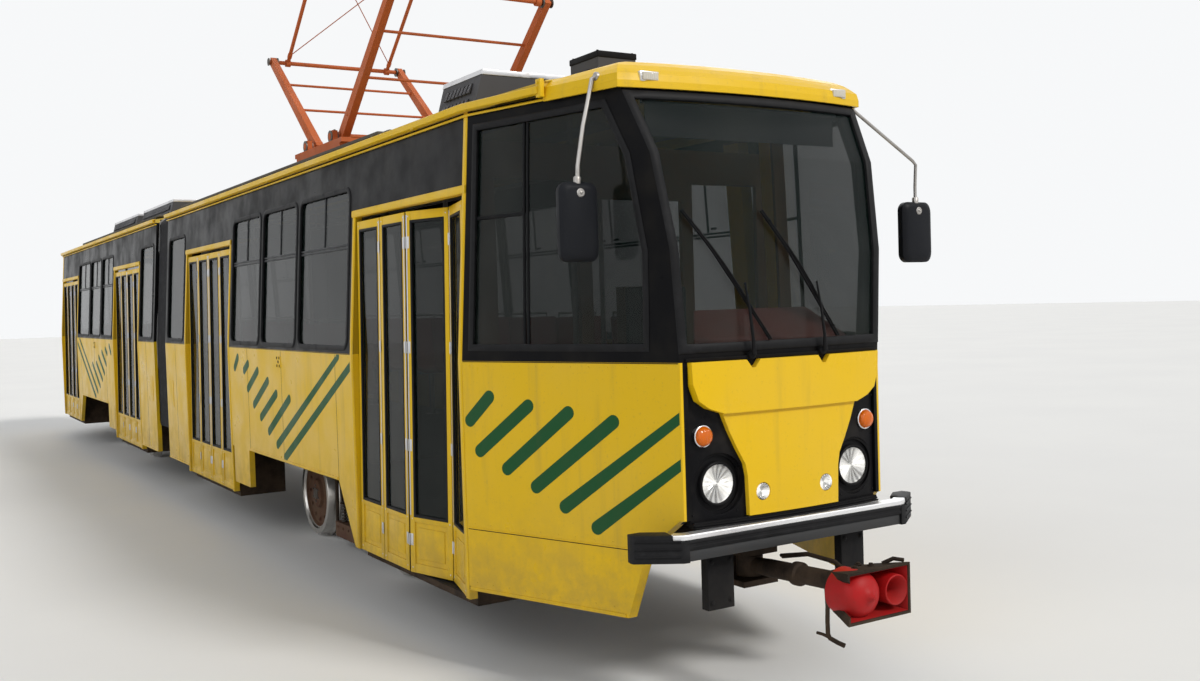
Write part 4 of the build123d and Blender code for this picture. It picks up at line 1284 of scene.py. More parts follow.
def bumper_path(z, back=0.0):
    """The bumper's outer edge seen from above, moved in."""
    points = BUMPER_OUTLINE + [(-x, y) for x, y in reversed(BUMPER_OUTLINE)]
    points = divided(points, 0.25, closed=False)
    path = [Vector((x, y, z)) for x, y in points]
    outs = []
    for i, point in enumerate(path):
        before = path[max(0, i - 1)]
        after = path[min(len(path) - 1, i + 1)]
        ahead = (after - before).normalized()
        outs.append(Vector((-ahead.y, ahead.x, 0)))
    return [p - o * back for p, o in zip(path, outs)], outs


def bumper_sweep(shape, z, back, profile, reach=BUMPER_CAP_X):
    """Carries a profile along the bumper as far as a reach to either side."""
    path, outs = bumper_path(z, back)
    kept = [i for i, point in enumerate(path) if abs(point.x) < reach]
    shape.sweep([path[i] for i in kept], [outs[i] for i in kept], profile, False)


def bumper_bar(shape):
    """The grey bar."""
    edge = [(-0.027, -0.07), (0.027, -0.07), (0.027, -0.004), (0.022, 0), (-0.022, 0), (-0.027, -0.004)]
    bumper_sweep(shape, 0.762, 0.01, edge)


def bumper_strip(shape):
    """The bright strip on top."""
    edge = [(-0.0135, -0.06), (0.0135, -0.06), (0.0135, -0.004), (0.009, 0), (-0.009, 0), (-0.0135, -0.004)]
    bumper_sweep(shape, 0.8465, 0.001, edge, BUMPER_STRIP_X)


def bumper_band(shape):
    """The rubber band with its end caps."""
    edge = [
        (-0.0225, -0.08), (0.0225, -0.08), (0.0225, -0.003), (0.018, 0), (0.009, 0), (0.006, -0.003),
        (-0.006, -0.003), (-0.009, 0), (-0.018, 0), (-0.0225, -0.003),
    ]
    bumper_sweep(shape, 0.8115, -0.001, edge)
    for side in BOTH:
        outline = [
            (0.672, -9.058), (0.704, -9.0545), (0.887, -8.92), (0.889, -8.898), (0.879, -8.862),
            (0.812, -8.862), (0.668, -8.972),
        ]
        shape.plate([(side * x, y, 0.734) for x, y in outline], Z_AXIS, 0.098, 0.005)
        outline = [
            (0.742, -9.027), (0.887, -8.92), (0.889, -8.898), (0.879, -8.862), (0.812, -8.862),
            (0.718, -8.935),
        ]
        shape.plate([(side * x, y, 0.826) for x, y in outline], Z_AXIS, 0.0365, 0.005)
        for z in (0.765, 0.8, 0.835):
            line = [Vector((side * 0.712, -9.0525, z)), Vector((side * 0.878, -8.93, z))]
            shape.tube(line, 0.004, 6)


def bumper_brackets(shape):
    """The two brackets with their bolts."""
    for side in BOTH:
        x = side * 0.4225
        shape.box((x - 0.0775, -8.957, 0.462), (x + 0.0775, -8.905, 0.736), 0.004)
        for dx, z in ((-0.055, 0.5), (0.055, 0.5), (-0.055, 0.69), (0.055, 0.69)):
            shape.bolt((x + dx, -8.957, z), AHEAD, 0.01)


class TRAM_OT_bumpers(bpy.types.Operator):
    """Builds the bumpers with their bright strip, rubber band, end caps and brackets"""

    bl_idname = "tram.bumpers"
    bl_label = "Bumpers"

    def execute(self, context):
        both_ends(bumper_bar, "bumper_grey", node="bumper")
        both_ends(bumper_band, "rubber")
        both_ends(bumper_strip, "bright")
        both_ends(bumper_brackets, "black")
        return {"FINISHED"}


# Couplers

COUPLER_Z = 0.56
COUPLER_HEAD = (-0.045, 0.6)
COUPLER_PIVOT_Y = -8.65


def flare_ring(y, width, height):
    """A rounded rectangle of the coupler's funnel at one place along the drawbar."""
    x, z = COUPLER_HEAD
    path = rounded_box_path((x - width / 2, x + width / 2), (z - height / 2, z + height / 2), 0.018, 3)
    return [Vector((a, y, b)) for a, b in path]


def open_ring(y, width, height, thickness, stub=0.03):
    """The funnel's wall at one place along the drawbar, open at the side where the cone stands."""
    x, z = COUPLER_HEAD
    outer = []
    for inset in (0.0, thickness):
        left, right = x - width / 2 + inset, x + width / 2 - inset
        low, high = z - height / 2 + inset, z + height / 2 - inset
        side = [
            (left, low + stub), (left, low), (right, low), (right, high), (left, high), (left, high - stub),
        ]
        outer += side if not inset else reversed(side)
    return [Vector((a, y, b)) for a, b in outer]


def coupler_bar(shape):
    """The drawbar with its pivot, cables, flange bolts and hanging handle."""
    x, z = COUPLER_HEAD
    start = Vector((0, COUPLER_PIVOT_Y, COUPLER_Z))
    ahead = Vector((x / 2, -9.385, z)) - start
    shape.turned(
        start + ahead * 0.08, ahead,
        [
            (0, 0.04), (0.1, 0.045), (0.3, 0.045), (0.31, 0.058), (0.345, 0.058), (0.355, 0.045),
            (0.6, 0.045), (0.61, 0.062), (0.66, 0.062),
        ],
        24,
    )
    shape.turned(
        (0, COUPLER_PIVOT_Y, COUPLER_Z - 0.055), Z_AXIS,
        [(0, 0.062), (0.006, 0.069), (0.104, 0.069), (0.11, 0.062)], 28,
    )
    shape.disc((0, COUPLER_PIVOT_Y, COUPLER_Z - 0.061), Z_AXIS, 0.029, 0.122, 20)
    for dy, dz in ((0.0, 0.075), (-0.012, 0.07)):
        shape.tube(
            [
                (0.03, -8.86 + dy, 0.56 + dz), (0.035, -9.05, 0.6 + dz), (0.02, -9.25, 0.6 + dz),
                (-0.01, -9.4, 0.635),
            ],
            0.009, 8,
        )
    for place in circle((x / 2 - 0.002, -9.318, z - 0.003), X_AXIS, Z_AXIS, 0.052, 6):
        shape.bolt(place, Y_AXIS, 0.008)
    hook = [(-0.02, -9.235, 0.56), (-0.02, -9.24, 0.47), (-0.026, -9.243, 0.4), (-0.02, -9.238, 0.335)]
    shape.tube(hook + [(-0.015, -9.245, 0.316), (0.0, -9.285, 0.3), (0.015, -9.312, 0.29)], 0.011, 10)
    shape.tube([(-0.02, -9.165, 0.325), (-0.02, -9.205, 0.326), (-0.02, -9.24, 0.322)], 0.008, 8)


def coupler_funnel(shape):
    """The funnel with its bolts, side plate and lever."""
    x, z = COUPLER_HEAD
    shape.loft(
        [flare_ring(*step) for step in ((-9.372, 0.15, 0.11), (-9.38, 0.215, 0.156), (-9.461, 0.262, 0.184))]
    )
    steps = [(-9.44, 0.262, 0.178), (-9.52, 0.32, 0.204), (-9.585, 0.372, 0.226), (-9.6015, 0.38, 0.23)]
    shape.loft([open_ring(*step, 0.012) for step in steps])
    for side in BOTH:
        for y, reach in ((-9.42, 0.092), (-9.5, 0.103)):
            shape.bolt((x + side * 0.05, y, z + reach), Z_AXIS, 0.011)
    shape.box((x + 0.184, -9.56, z - 0.03), (x + 0.192, -9.45, z + 0.03), 0.002)
    lever = [(x + 0.12, -9.5, z + 0.1), (x + 0.16, -9.53, z + 0.122), (x + 0.185, -9.57, z + 0.118)]
    shape.tube(lever, 0.01, 8)


def coupler_face(shape):
    """The red lining with cone and cup."""
    z = COUPLER_HEAD[1]
    steps = [(-9.462, 0.244, 0.152), (-9.52, 0.292, 0.176), (-9.585, 0.344, 0.198), (-9.597, 0.352, 0.202)]
    shape.loft([open_ring(*step, 0.0015) for step in steps])
    shape.loft([flare_ring(-9.4605, 0.24, 0.15), flare_ring(-9.463, 0.238, 0.148)])
    dome = [
        (0, 0.1045), (0.1, 0.1045), (0.122, 0.1), (0.142, 0.088), (0.156, 0.07), (0.166, 0.048),
        (0.172, 0.028), (0.184, 0.017), (0.204, 0.006),
    ]
    shape.turned((-0.117, -9.44, z), AHEAD, dome, 40)
    cup = [
        (0, 0.07), (0.14, 0.07), (0.154, 0.069), (0.156, 0.064), (0.15, 0.058), (0.12, 0.042),
        (0.08, 0.026), (0.052, 0.018), (0.05, 0.0),
    ]
    shape.turned((0.065, -9.44, z), AHEAD, cup, 36)


class TRAM_OT_couplers(bpy.types.Operator):
    """Builds the drawbars and coupler heads with cone and cup"""

    bl_idname = "tram.couplers"
    bl_label = "Couplers"

    def execute(self, context):
        both_ends(coupler_bar, "frame", "coupler", "coupler")
        both_ends(coupler_funnel, "frame", "coupler")
        both_ends(coupler_face, "red", "coupler")
        return {"FINISHED"}


# Mirrors and wipers

# Mirror cases: start and end along x and along z, place along y, and depth
MIRROR_CASES = [((-1.04, -0.832), (2.11, 2.48), -8.64, 0.055), ((1.19, 1.416), (2.09, 2.43), -8.64, 0.06)]


class TRAM_OT_mirrors(bpy.types.Operator):
    """Builds the mirrors on their bent rods"""

    bl_idname = "tram.mirrors"
    bl_label = "Mirrors"

    def execute(self, context):
        shape = Shape()
        for a, b, y, depth in MIRROR_CASES:
            rings = []
            for shift, inset in (
                (0.0, 0.03), (0.006, 0.012), (0.02, 0.0), (depth - 0.01, 0.0), (depth - 0.003, 0.003),
                (depth - 0.003, 0.012), (depth - 0.008, 0.014),
            ):
                path = rounded_box_path((a[0] + inset, a[1] - inset), (b[0] + inset, b[1] - inset), 0.045)
                rings.append([Vector((p, y + shift, q)) for p, q in path])
            shape.loft(rings)
        case = shape.piece("mirror_cases", "mirror_case", "front_section")
        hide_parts("mirrors")
        shape = Shape()
        for a, b, y, depth in MIRROR_CASES:
            path = rounded_box_path((a[0] + 0.015, a[1] - 0.015), (b[0] + 0.015, b[1] - 0.015), 0.04)
            shape.plate([Vector((p, y + depth - 0.0085, q)) for p, q in path], Y_AXIS, 0.002)
        shape.piece("mirror_panes", "chrome", "front_section", smooth=0)
        shape = Shape()
        shape.tube(
            [
                (-0.795, -8.6, 2.99), (-0.812, -8.575, 2.975), (-0.85, -8.59, 2.855), (-0.885, -8.6, 2.745),
                (-0.925, -8.608, 2.56), (-0.936, -8.612, 2.42),
            ],
            0.011,
        )
        shape.tube(
            [
                (0.8, -8.63, 2.935), (0.83, -8.64, 2.905), (1.28, -8.622, 2.662), (1.306, -8.62, 2.64),
                (1.306, -8.612, 2.52), (1.305, -8.612, 2.4),
            ],
            0.009,
        )
        for x, y, z, out in (
            (-0.8, -8.585, 2.985, (-1, 0, 0)), (0.806, -8.636, 2.93, X_AXIS), (-0.932, -8.64, 2.43, AHEAD),
            (1.305, -8.64, 2.38, AHEAD),
        ):
            shape.turned(
                Vector((x, y, z)) - Vector(out) * 0.012, out, [(0, 0.022), (0.012, 0.022), (0.016, 0.018)], 16,
            )
            shape.bolt(Vector((x, y, z)) + Vector(out) * 0.004, out, 0.006)
        for x, z in ((-0.934, 2.485), (1.305, 2.435)):
            shape.turned((x, -8.612, z - 0.012), Z_AXIS, [(0, 0.018), (0.03, 0.018), (0.036, 0.013)], 14)
        shape.piece("mirror_rods", "steel", "front_section")
        return {"FINISHED"}


# Where the wipers' spindles stand: x of each, and their height
WIPER_PIVOTS = (-0.25, 0.19)
WIPER_Z = 1.65


class TRAM_OT_wipers(bpy.types.Operator):
    """Builds the wiper arms and blades"""

    bl_idname = "tram.wipers"
    bl_label = "Wipers"

    def execute(self, context):
        arms, blades = Shape(), Shape()
        for x in WIPER_PIVOTS:
            base = FRONT.at(x, WIPER_Z, 0.012)
            arms.turned(
                base - Vector((0, -0.035, 0)), AHEAD,
                [(0, 0.016), (0.03, 0.016), (0.036, 0.02), (0.05, 0.02), (0.056, 0.012)], 20,
            )
            line = [
                FRONT.at(x + dx, z, out)
                for dx, z, out in (
                    (0, WIPER_Z, 0.04), (-0.006, 1.72, 0.046), (-0.018, 1.86, 0.04), (-0.03, 1.99, 0.026),
                )
            ]
            arms.tube(line[:2], [0.012, 0.009], 10)
            arms.tube(line[1:], [0.008, 0.006, 0.005], 8)
            arms.tube(
                [
                    FRONT.at(x + 0.014, 1.66, 0.034), FRONT.at(x - 0.004, 1.86, 0.03),
                    FRONT.at(x - 0.024, 1.98, 0.022),
                ],
                0.0035, 6,
            )
            blade = [part_way((x - 0.33, 2.33), (x + 0.12, 1.72), k / 12) for k in range(13)]
            spine = [FRONT.at(a, b, 0.02) for a, b in blade]
            arms.tube(spine, 0.004, 6)
            for k in (1, 4, 8, 11):
                arms.tube([FRONT.at(*blade[k], 0.012), FRONT.at(*blade[k], 0.026)], 0.005, 6)
            bridge = [FRONT.at(*blade[k], out) for k, out in ((3, 0.022), (5, 0.032), (7, 0.032), (9, 0.022))]
            arms.tube(bridge, 0.0045, 6)
            trim(
                blades, FRONT, blade, [(-0.005, 0.001), (0.005, 0.001), (0.004, 0.012), (-0.004, 0.012)],
                False,
            )
        made = arms.piece("wiper_arms", "black", "front_section")
        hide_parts("wipers")
        blades.piece("wiper_blades", "rubber", "front_section")
        return {"FINISHED"}


# Roof

ROOF_SHOULDER = (0.64, 3.062)
ROOF_EDGE = (1.035, 2.985)
ROOF_CROWN_Z = 3.1
ROOF_CAP_Y = -8.246


def roof_place(x, y):
    """A point on the arched roof."""
    reach = abs(x)
    if reach <= ROOF_SHOULDER[0]:
        rise = (ROOF_CROWN_Z - ROOF_SHOULDER[1]) * (reach / ROOF_SHOULDER[0]) ** 2
        return Vector((x, y, ROOF_CROWN_Z - rise))
    share = (reach - ROOF_SHOULDER[0]) / (ROOF_EDGE[0] - ROOF_SHOULDER[0])
    return Vector((x, y, ROOF_SHOULDER[1] + share * (ROOF_EDGE[1] - ROOF_SHOULDER[1])))


ROOF = Skin(roof_place, Z_AXIS)

# Covers on the roof: which section, half-width at foot and head, height of the head, start and end along y
ROOF_COVERS = [
    ("front", 0.62, 0.52, 3.36, -6.86, -6.3),
    ("rear", 0.64, 0.56, 3.33, -3.3, -1.5),
    ("rear", 0.64, 0.56, 3.33, -5.5, -3.7),
]
# Pitches of the covers' slats and of the ribs on their lids
SLAT_PITCH = 0.055
RIB_PITCH = 0.26


def gutters(shape):
    """Gutters, drip edges, joint pieces and end brackets."""
    outline = [
        (1.03, 2.951), (1.05, 2.95), (1.058, 2.955), (1.06, 2.984), (1.056, 2.99), (1.05, 2.986),
        (1.05, 2.962), (1.044, 2.958), (1.036, 2.96), (1.036, 2.992), (1.026, 2.996),
    ]
    drip = [(1.014, 2.926), (1.03, 2.924), (1.034, 2.93), (1.03, 2.936), (1.014, 2.938)]
    for side in BOTH:
        for ring, stations in (
            (outline, [(SECTION_END_Y, 0), (-4.0, 0), (CAB_START_Y, 0), (-8.25, 0.128)]),
            (drip, [(SECTION_END_Y, 0), (-4.0, 0), (CAB_START_Y, 0), (-8.25, 0.155)]),
        ):
            shape.loft([[Vector((side * (x - shift), y, z)) for x, z in ring] for y, shift in stations])
        for y in (-1.2, -2.65, -4.1, -5.55, -7.0):
            shape.pad((side * 1.045, y), (0.016, 0.02), (2.946, 2.952), 0.002)
        low = Vector((side * 0.912 - 0.012, -8.272, 2.935))
        shape.box(low, low + Vector((0.024, 0.046, 0.09)), 0.003)
        shape.bolt(low + Vector((0.012 + side * 0.012, 0.023, 0.07)), (side, 0, 0), 0.007)


def roof_seams(shape):
    """Seam strips and their rivets."""
    for y in (-1.1, -2.55, -5.9, -7.35):
        line_trim(shape, ROOF, [(-1.03, y), (1.03, y)], 0.12, ring_profile(0.014, 0.005, 0.003))
        for k in range(21):
            x = -1.0 + 0.1 * k
            shape.rivet(ROOF.at(x, y + 0.028), ROOF.normal(x, y), 0.005)
    for side in BOTH:
        line = [(side * 0.7, y) for y in (-0.35, -4.0, -7.9)]
        line_trim(shape, ROOF, line, 1.0, ring_profile(0.01, 0.004, 0.003))
    line_trim(
        shape, ROOF, [(-0.88, ROOF_CAP_Y + 0.012), (0.88, ROOF_CAP_Y + 0.012)], 0.1,
        ring_profile(0.02, 0.006, 0.003),
    )
    for k in range(18):
        x = -0.85 + 0.1 * k
        shape.rivet(ROOF.at(x, ROOF_CAP_Y + 0.012, 0.005), ROOF.normal(x, -8.0), 0.006)


def roof_boards(shape):
    """Walkway boards on their bearers."""
    bearers = [(0.7, -0.004), (0.94, -0.004), (0.94, 0.031), (0.7, 0.031)]
    for side in BOTH:
        for x in (0.74, 0.82, 0.9):
            foot = roof_place(x, 0).z
            shape.box((side * x - 0.034, -6.15, foot + 0.03), (side * x + 0.034, -0.55, foot + 0.052), 0.003)
        for k in range(8):
            y = -6.0 + 0.75 * k
            bearer = [(x, roof_place(x, 0).z + dz) for x, dz in bearers]
            long_bar(shape, bearer, (y, y + 0.04), side)


def roof_conduits(shape):
    """Cable conduits and their saddles."""
    for x, start, end in ((-0.3, -6.3, -4.9), (-0.26, -6.3, -4.9), (0.34, -7.25, -6.86)):
        shape.tube(
            [roof_place(x, start) + Vector((0, 0, 0.022)), roof_place(x, end) + Vector((0, 0, 0.022))], 0.014,
            10,
        )
    for y in (-6.1, -5.7, -5.3, -5.0):
        place = roof_place(-0.28, y)
        shape.box(place + Vector((-0.065, -0.012, -0.002)), place + Vector((0.065, 0.012, 0.038)), 0.004)


def roof_cover(number, section, foot, head, top, start, end):
    """One cover's louvres, edge strips and bolts."""
    slats, edges = Shape(), Shape()
    low_z = roof_place(foot, 0).z
    lean = (foot - head) / (top - low_z)
    rail = [
        (head + 0.004, top - 0.03), (head + 0.012, top - 0.028), (head + 0.004, top + 0.003),
        (head - 0.024, top + 0.003), (head - 0.024, top - 0.002),
    ]
    for side in BOTH:
        for k in range(int((end - start - 0.16) / SLAT_PITCH)):
            y = start + 0.1 + SLAT_PITCH * k
            for share in (0.22, 0.55):
                z = low_z + share * (top - low_z)
                x = foot - lean * (z - low_z) - 0.002
                slat = [
                    (x, z), (x + 0.012, z + 0.004), (
                        x + 0.006 - lean * 0.06, z + 0.06,
                    ), (x - lean * 0.07, z + 0.066),
                ]
                long_bar(slats, slat, (y, y + 0.036), side)
        long_bar(edges, rail, (start - 0.003, end + 0.003), side)
        for k in range(4):
            y = start + 0.06 + (end - start - 0.12) * k / 3
            edges.bolt((side * (foot + 0.004), y, low_z + 0.028), (side, 0, 0.3), 0.009)
    for y, way in ((start, -1), (end, 1)):
        edges.box((-head, y - 0.004, top - 0.03), (head, y + 0.004, top + 0.003), 0.002)
        for x in (-0.4, -0.13, 0.13, 0.4):
            edges.bolt((x, y, low_z + 0.12), (0, way, 0), 0.009)
    for k in range(int((end - start) / RIB_PITCH)):
        y = start + (k + 0.5) * RIB_PITCH
        edges.box((-head + 0.03, y - 0.008, top), (head - 0.03, y + 0.008, top + 0.006), 0.002)
    for shape, part, finish in ((slats, "louvres", "grey"), (edges, "edges", "aluminium")):
        if section == "rear":
            shape.mirror_y()
        shape.piece(f"{section}_cover_{number}_{part}", finish, f"{section}_section")


def small_box_lid():
    """The small box's lid, its bolts, catches and cable gland."""
    lid = Shape()
    lid.box((-0.136, -7.566, 3.335), (0.136, -7.244, 3.372), 0.006)
    for x in (-0.12, 0.12):
        for y in (-7.54, -7.27):
            lid.bolt((x, y, 3.371), Z_AXIS, 0.008)
    for side in BOTH:
        lid.box((side * 0.131 - 0.006, -7.47, 3.16), (side * 0.131 + 0.006, -7.34, 3.28), 0.004)
    lid.disc((0, -7.575, 3.17), Y_AXIS, 0.022, 0.02, 14)
    lid.piece("small_box_lid", "black", "front_section")


class TRAM_OT_roof(bpy.types.Operator):
    """Adds gutters, seams, boards, conduits and the covers' louvres to the roof"""

    bl_idname = "tram.roof"
    bl_label = "Roof"

    def execute(self, context):
        both_ends(gutters, "yellow")
        both_ends(roof_seams, "roof")
        both_ends(roof_boards, "wood")
        shape = Shape()
        roof_conduits(shape)
        shape.piece("roof_conduits", "steel", "front_section")
        for number, cover in enumerate(ROOF_COVERS, 1):
            roof_cover(number, *cover)
        small_box_lid()
        return {"FINISHED"}


# Pantograph

PANTO_Y = -4.3
PANTO_ARM = 1.43
PANTO_ANGLE = math.radians(39)
SHAFT_Z = 3.25
PANTO_HALF = 0.64
PANTO_BEARING_X = 0.68
PANTO_INSULATOR_X = 0.56
PANTO_PLATE_Z = 3.222
PANTO_SPRING_X = 0.3
PANTO_SPRING_Z = 3.228
PANTO_POINTS = {}
for arm_name, arm_way in (("front", -1), ("rear", 1)):
    shaft_y = PANTO_Y + arm_way * 0.3
    knee_y = shaft_y + arm_way * PANTO_ARM * math.cos(PANTO_ANGLE)
    rise = PANTO_ARM * math.sin(PANTO_ANGLE)
    PANTO_POINTS[arm_name] = ((shaft_y, SHAFT_Z), (knee_y, SHAFT_Z + rise), (shaft_y, SHAFT_Z + 2 * rise))


def coil(shape, start, end, radius, wire, turns, sides=6):
    """A coil spring between two points."""
    start, end = Vector(start), Vector(end)
    axis = (end - start).normalized()
    side = axis.orthogonal().normalized()
    up = axis.cross(side)
    steps = turns * 12
    points = []
    for k in range(steps + 1):
        angle = math.tau * k / 12
        points.append(
            start + (end - start) * k / steps + radius * (math.cos(angle) * side + math.sin(angle) * up)
        )
    shape.tube(points, wire, sides)


def panto_arms(name):
    """Knuckles, gussets and braces of one pair of lower and upper arms."""
    shaft, knee, top = PANTO_POINTS[name]
    steel, lower, upper = Shape(), Shape(), Shape()
    for side in BOTH:
        x = side * (PANTO_HALF - 0.04)
        steel.turned(
            (side * (PANTO_HALF + 0.004) - 0.006, *knee), X_AXIS,
            [(0, 0.02), (0.003, 0.034), (0.01, 0.034), (0.012, 0.02)], 24,
        )
        steel.disc((x - side * 0.034 - 0.006, *knee), X_AXIS, 0.04, 0.012, 24)
        for share in (0.16, 0.2):
            lower.bolt((x + side * 0.026, *part_way(shaft, knee, share)), (side, 0, 0), 0.008)
        lower.disc((x - 0.03, *shaft), X_AXIS, 0.05, 0.06, 28)
    for share in (0.42, 0.72):
        place = part_way(shaft, knee, share)
        lower.tube([(-PANTO_HALF + 0.045, *place), (PANTO_HALF - 0.045, *place)], 0.011, 10)
    half = PANTO_HALF - (0.11 if name == "front" else 0.17)
    ahead = Vector((0, top[0] - knee[0], top[1] - knee[1])).normalized()
    for side in BOTH:
        low, high = (part_way(knee, top, share) for share in (0.06, 0.94))
        upper.tube([(side * half, *low), (-side * half, *high)], 0.0045, 6)
        for place in (low, high):
            upper.disc(Vector((side * half, *place)) - ahead * 0.02, ahead, 0.02, 0.04, 14)
    steel.piece(f"panto_knuckles_{name}", "dark_steel", f"panto_lower_{name}")
    lower.piece(f"panto_braces_{name}", "orange", f"panto_lower_{name}")
    upper.piece(f"panto_wires_{name}", "orange", f"panto_upper_{name}")


def panto_head():
    """The carbon strips, their carriers and the horns' tips."""
    z = PANTO_POINTS["front"][2][1] + 0.12
    carbon, metal_parts = Shape(), Shape()
    for y in (PANTO_Y - 0.23, PANTO_Y + 0.23):
        for k in range(5):
            low = -0.485 + 0.194 * k
            carbon.box((low, y - 0.018, z - 0.012), (low + 0.19, y + 0.018, z - 0.0002), 0.002)
        for x in (-0.28, 0.28):
            metal_parts.pad((x, y), (0.035, 0.03), (z - 0.036, z - 0.028), 0.002)
            for dx in (-0.02, 0.02):
                metal_parts.bolt((x + dx, y, z - 0.036), (0, 0, -1), 0.007)
        for side in BOTH:
            metal_parts.turned(
                (side * 0.79, y, z - 0.136), (side, 0, -0.4), [(0, 0.0155), (0.008, 0.0155), (0.012, 0.01)],
                14,
            )
    for x in (-0.302, 0.302):
        for y in (PANTO_Y - 0.16, PANTO_Y + 0.16):
            coil(metal_parts, (x, y, z - 0.11), (x, y, z - 0.036), 0.012, 0.0025, 6)
    carbon.piece("panto_carbon_strips", "carbon", "panto_head")
    metal_parts.piece("panto_head_fittings", "dark_steel", "panto_head")


class TRAM_OT_pantograph(bpy.types.Operator):
    """Adds insulators, springs, bearings, braces and contact strips to the pantograph"""

    bl_idname = "tram.pantograph"
    bl_label = "Pantograph"

    def execute(self, context):
        insulators, base, dark = Shape(), Shape(), Shape()
        sheds = [(0, 0.046)]
        for k in range(4):
            z = 0.012 + 0.026 * k
            sheds += [(z, 0.046), (z + 0.006, 0.062), (z + 0.012, 0.06), (z + 0.016, 0.047)]
        sheds += [(0.116, 0.04), (0.13, 0.04)]
        for side in BOTH:
            for y in (PANTO_Y - 0.52, PANTO_Y + 0.52):
                x = side * PANTO_INSULATOR_X
                insulators.turned((x, y, 3.05), Z_AXIS, sheds, 28)
                base.pad((x, y), (0.07, 0.045), (PANTO_PLATE_Z - 0.007, PANTO_PLATE_Z), 0.002)
                for dx in (-0.05, 0.05):
                    for dy in (-0.03, 0.03):
                        base.bolt((x + dx, y + dy, PANTO_PLATE_Z), Z_AXIS, 0.008)
            for shaft, _, _ in PANTO_POINTS.values():
                for x in (PANTO_BEARING_X - 0.024, PANTO_BEARING_X + 0.024):
                    dark.disc((side * x - 0.004, *shaft), X_AXIS, 0.047, 0.008, 24)
                for y in (-0.034, 0.034):
                    dark.bolt((side * PANTO_BEARING_X, shaft[0] + y, 3.295), Z_AXIS, 0.008)
            base.tube(
                [
                    (side * PANTO_SPRING_X, PANTO_Y - 0.5, PANTO_SPRING_Z),
                    (side * PANTO_SPRING_X, PANTO_Y + 0.5, PANTO_SPRING_Z),
                ],
                0.016, 10,
            )
            coil(
                dark, (side * PANTO_SPRING_X, PANTO_Y - 0.22, PANTO_SPRING_Z),
                (side * PANTO_SPRING_X, PANTO_Y + 0.22, PANTO_SPRING_Z), 0.03, 0.0055, 18,
            )
            for y in (-0.225, 0.225):
                dark.disc(
                    (side * PANTO_SPRING_X, PANTO_Y + y - 0.006, PANTO_SPRING_Z), Y_AXIS, 0.038, 0.012, 20,
                )
        base.box((-0.66, PANTO_Y - 0.03, 3.184), (0.66, PANTO_Y + 0.03, 3.204), 0.003)
        base.turned(
            (0.0, PANTO_Y - 0.28, 3.215), Y_AXIS,
            [(0, 0.0), (0, 0.035), (0.22, 0.035), (0.23, 0.02), (0.4, 0.02), (0.41, 0.0)], 20,
        )
        insulators.piece("panto_insulators", "ceramic", "front_section")
        base.piece("panto_base_fittings", "orange", "front_section")
        dark.piece("panto_base_springs", "dark_steel", "front_section")
        for name in PANTO_POINTS:
            panto_arms(name)
        panto_head()
        return {"FINISHED"}


# Running gear

WHEELSETS = [
    ("front_outer_wheelset", -5.4), ("front_inner_wheelset", -3.5), ("rear_inner_wheelset", 3.5),
    ("rear_outer_wheelset", 5.4),
]
WHEEL_RADIUS = 0.35
WHEEL_FACE_X = 0.49
# Turned forms of the tyre and of the wheel's centre: distance outward from the wheel's face, and radius
TYRE = [
    (-0.025, 0.296), (-0.025, 0.364), (-0.019, 0.369), (-0.008, 0.369), (-0.002, 0.362), (0.004, 0.353),
    (0.012, 0.35), (0.08, 0.3465), (0.085, 0.342), (0.085, 0.3), (0.07, 0.29), (0.07, 0.284),
    (-0.02, 0.284), (-0.025, 0.29),
]
WHEEL_CENTRE = [
    (-0.022, 0.0), (-0.022, 0.11), (0.0, 0.13), (0.004, 0.262), (-0.018, 0.274), (-0.018, 0.2845),
    (0.066, 0.2845), (0.066, 0.276), (0.05, 0.268), (0.046, 0.24), (0.04, 0.16), (0.05, 0.128),
    (0.074, 0.116), (0.078, 0.088), (0.078, 0.0),
]
# Bogies: name and the middle's y
BOGIES = [("front_bogie", -4.45), ("rear_bogie", 4.45)]
HALF_WHEELBASE = 0.95
# Places of a bogie's parts, from its middle
FRAME_FACE_X = 0.402
SPRING_X = 0.35
SPRING_Y = 0.245
MAGNET_X = 0.545
GUARD_X = 0.525
MOTOR_Y = 0.42
MOTOR_Z = 0.4


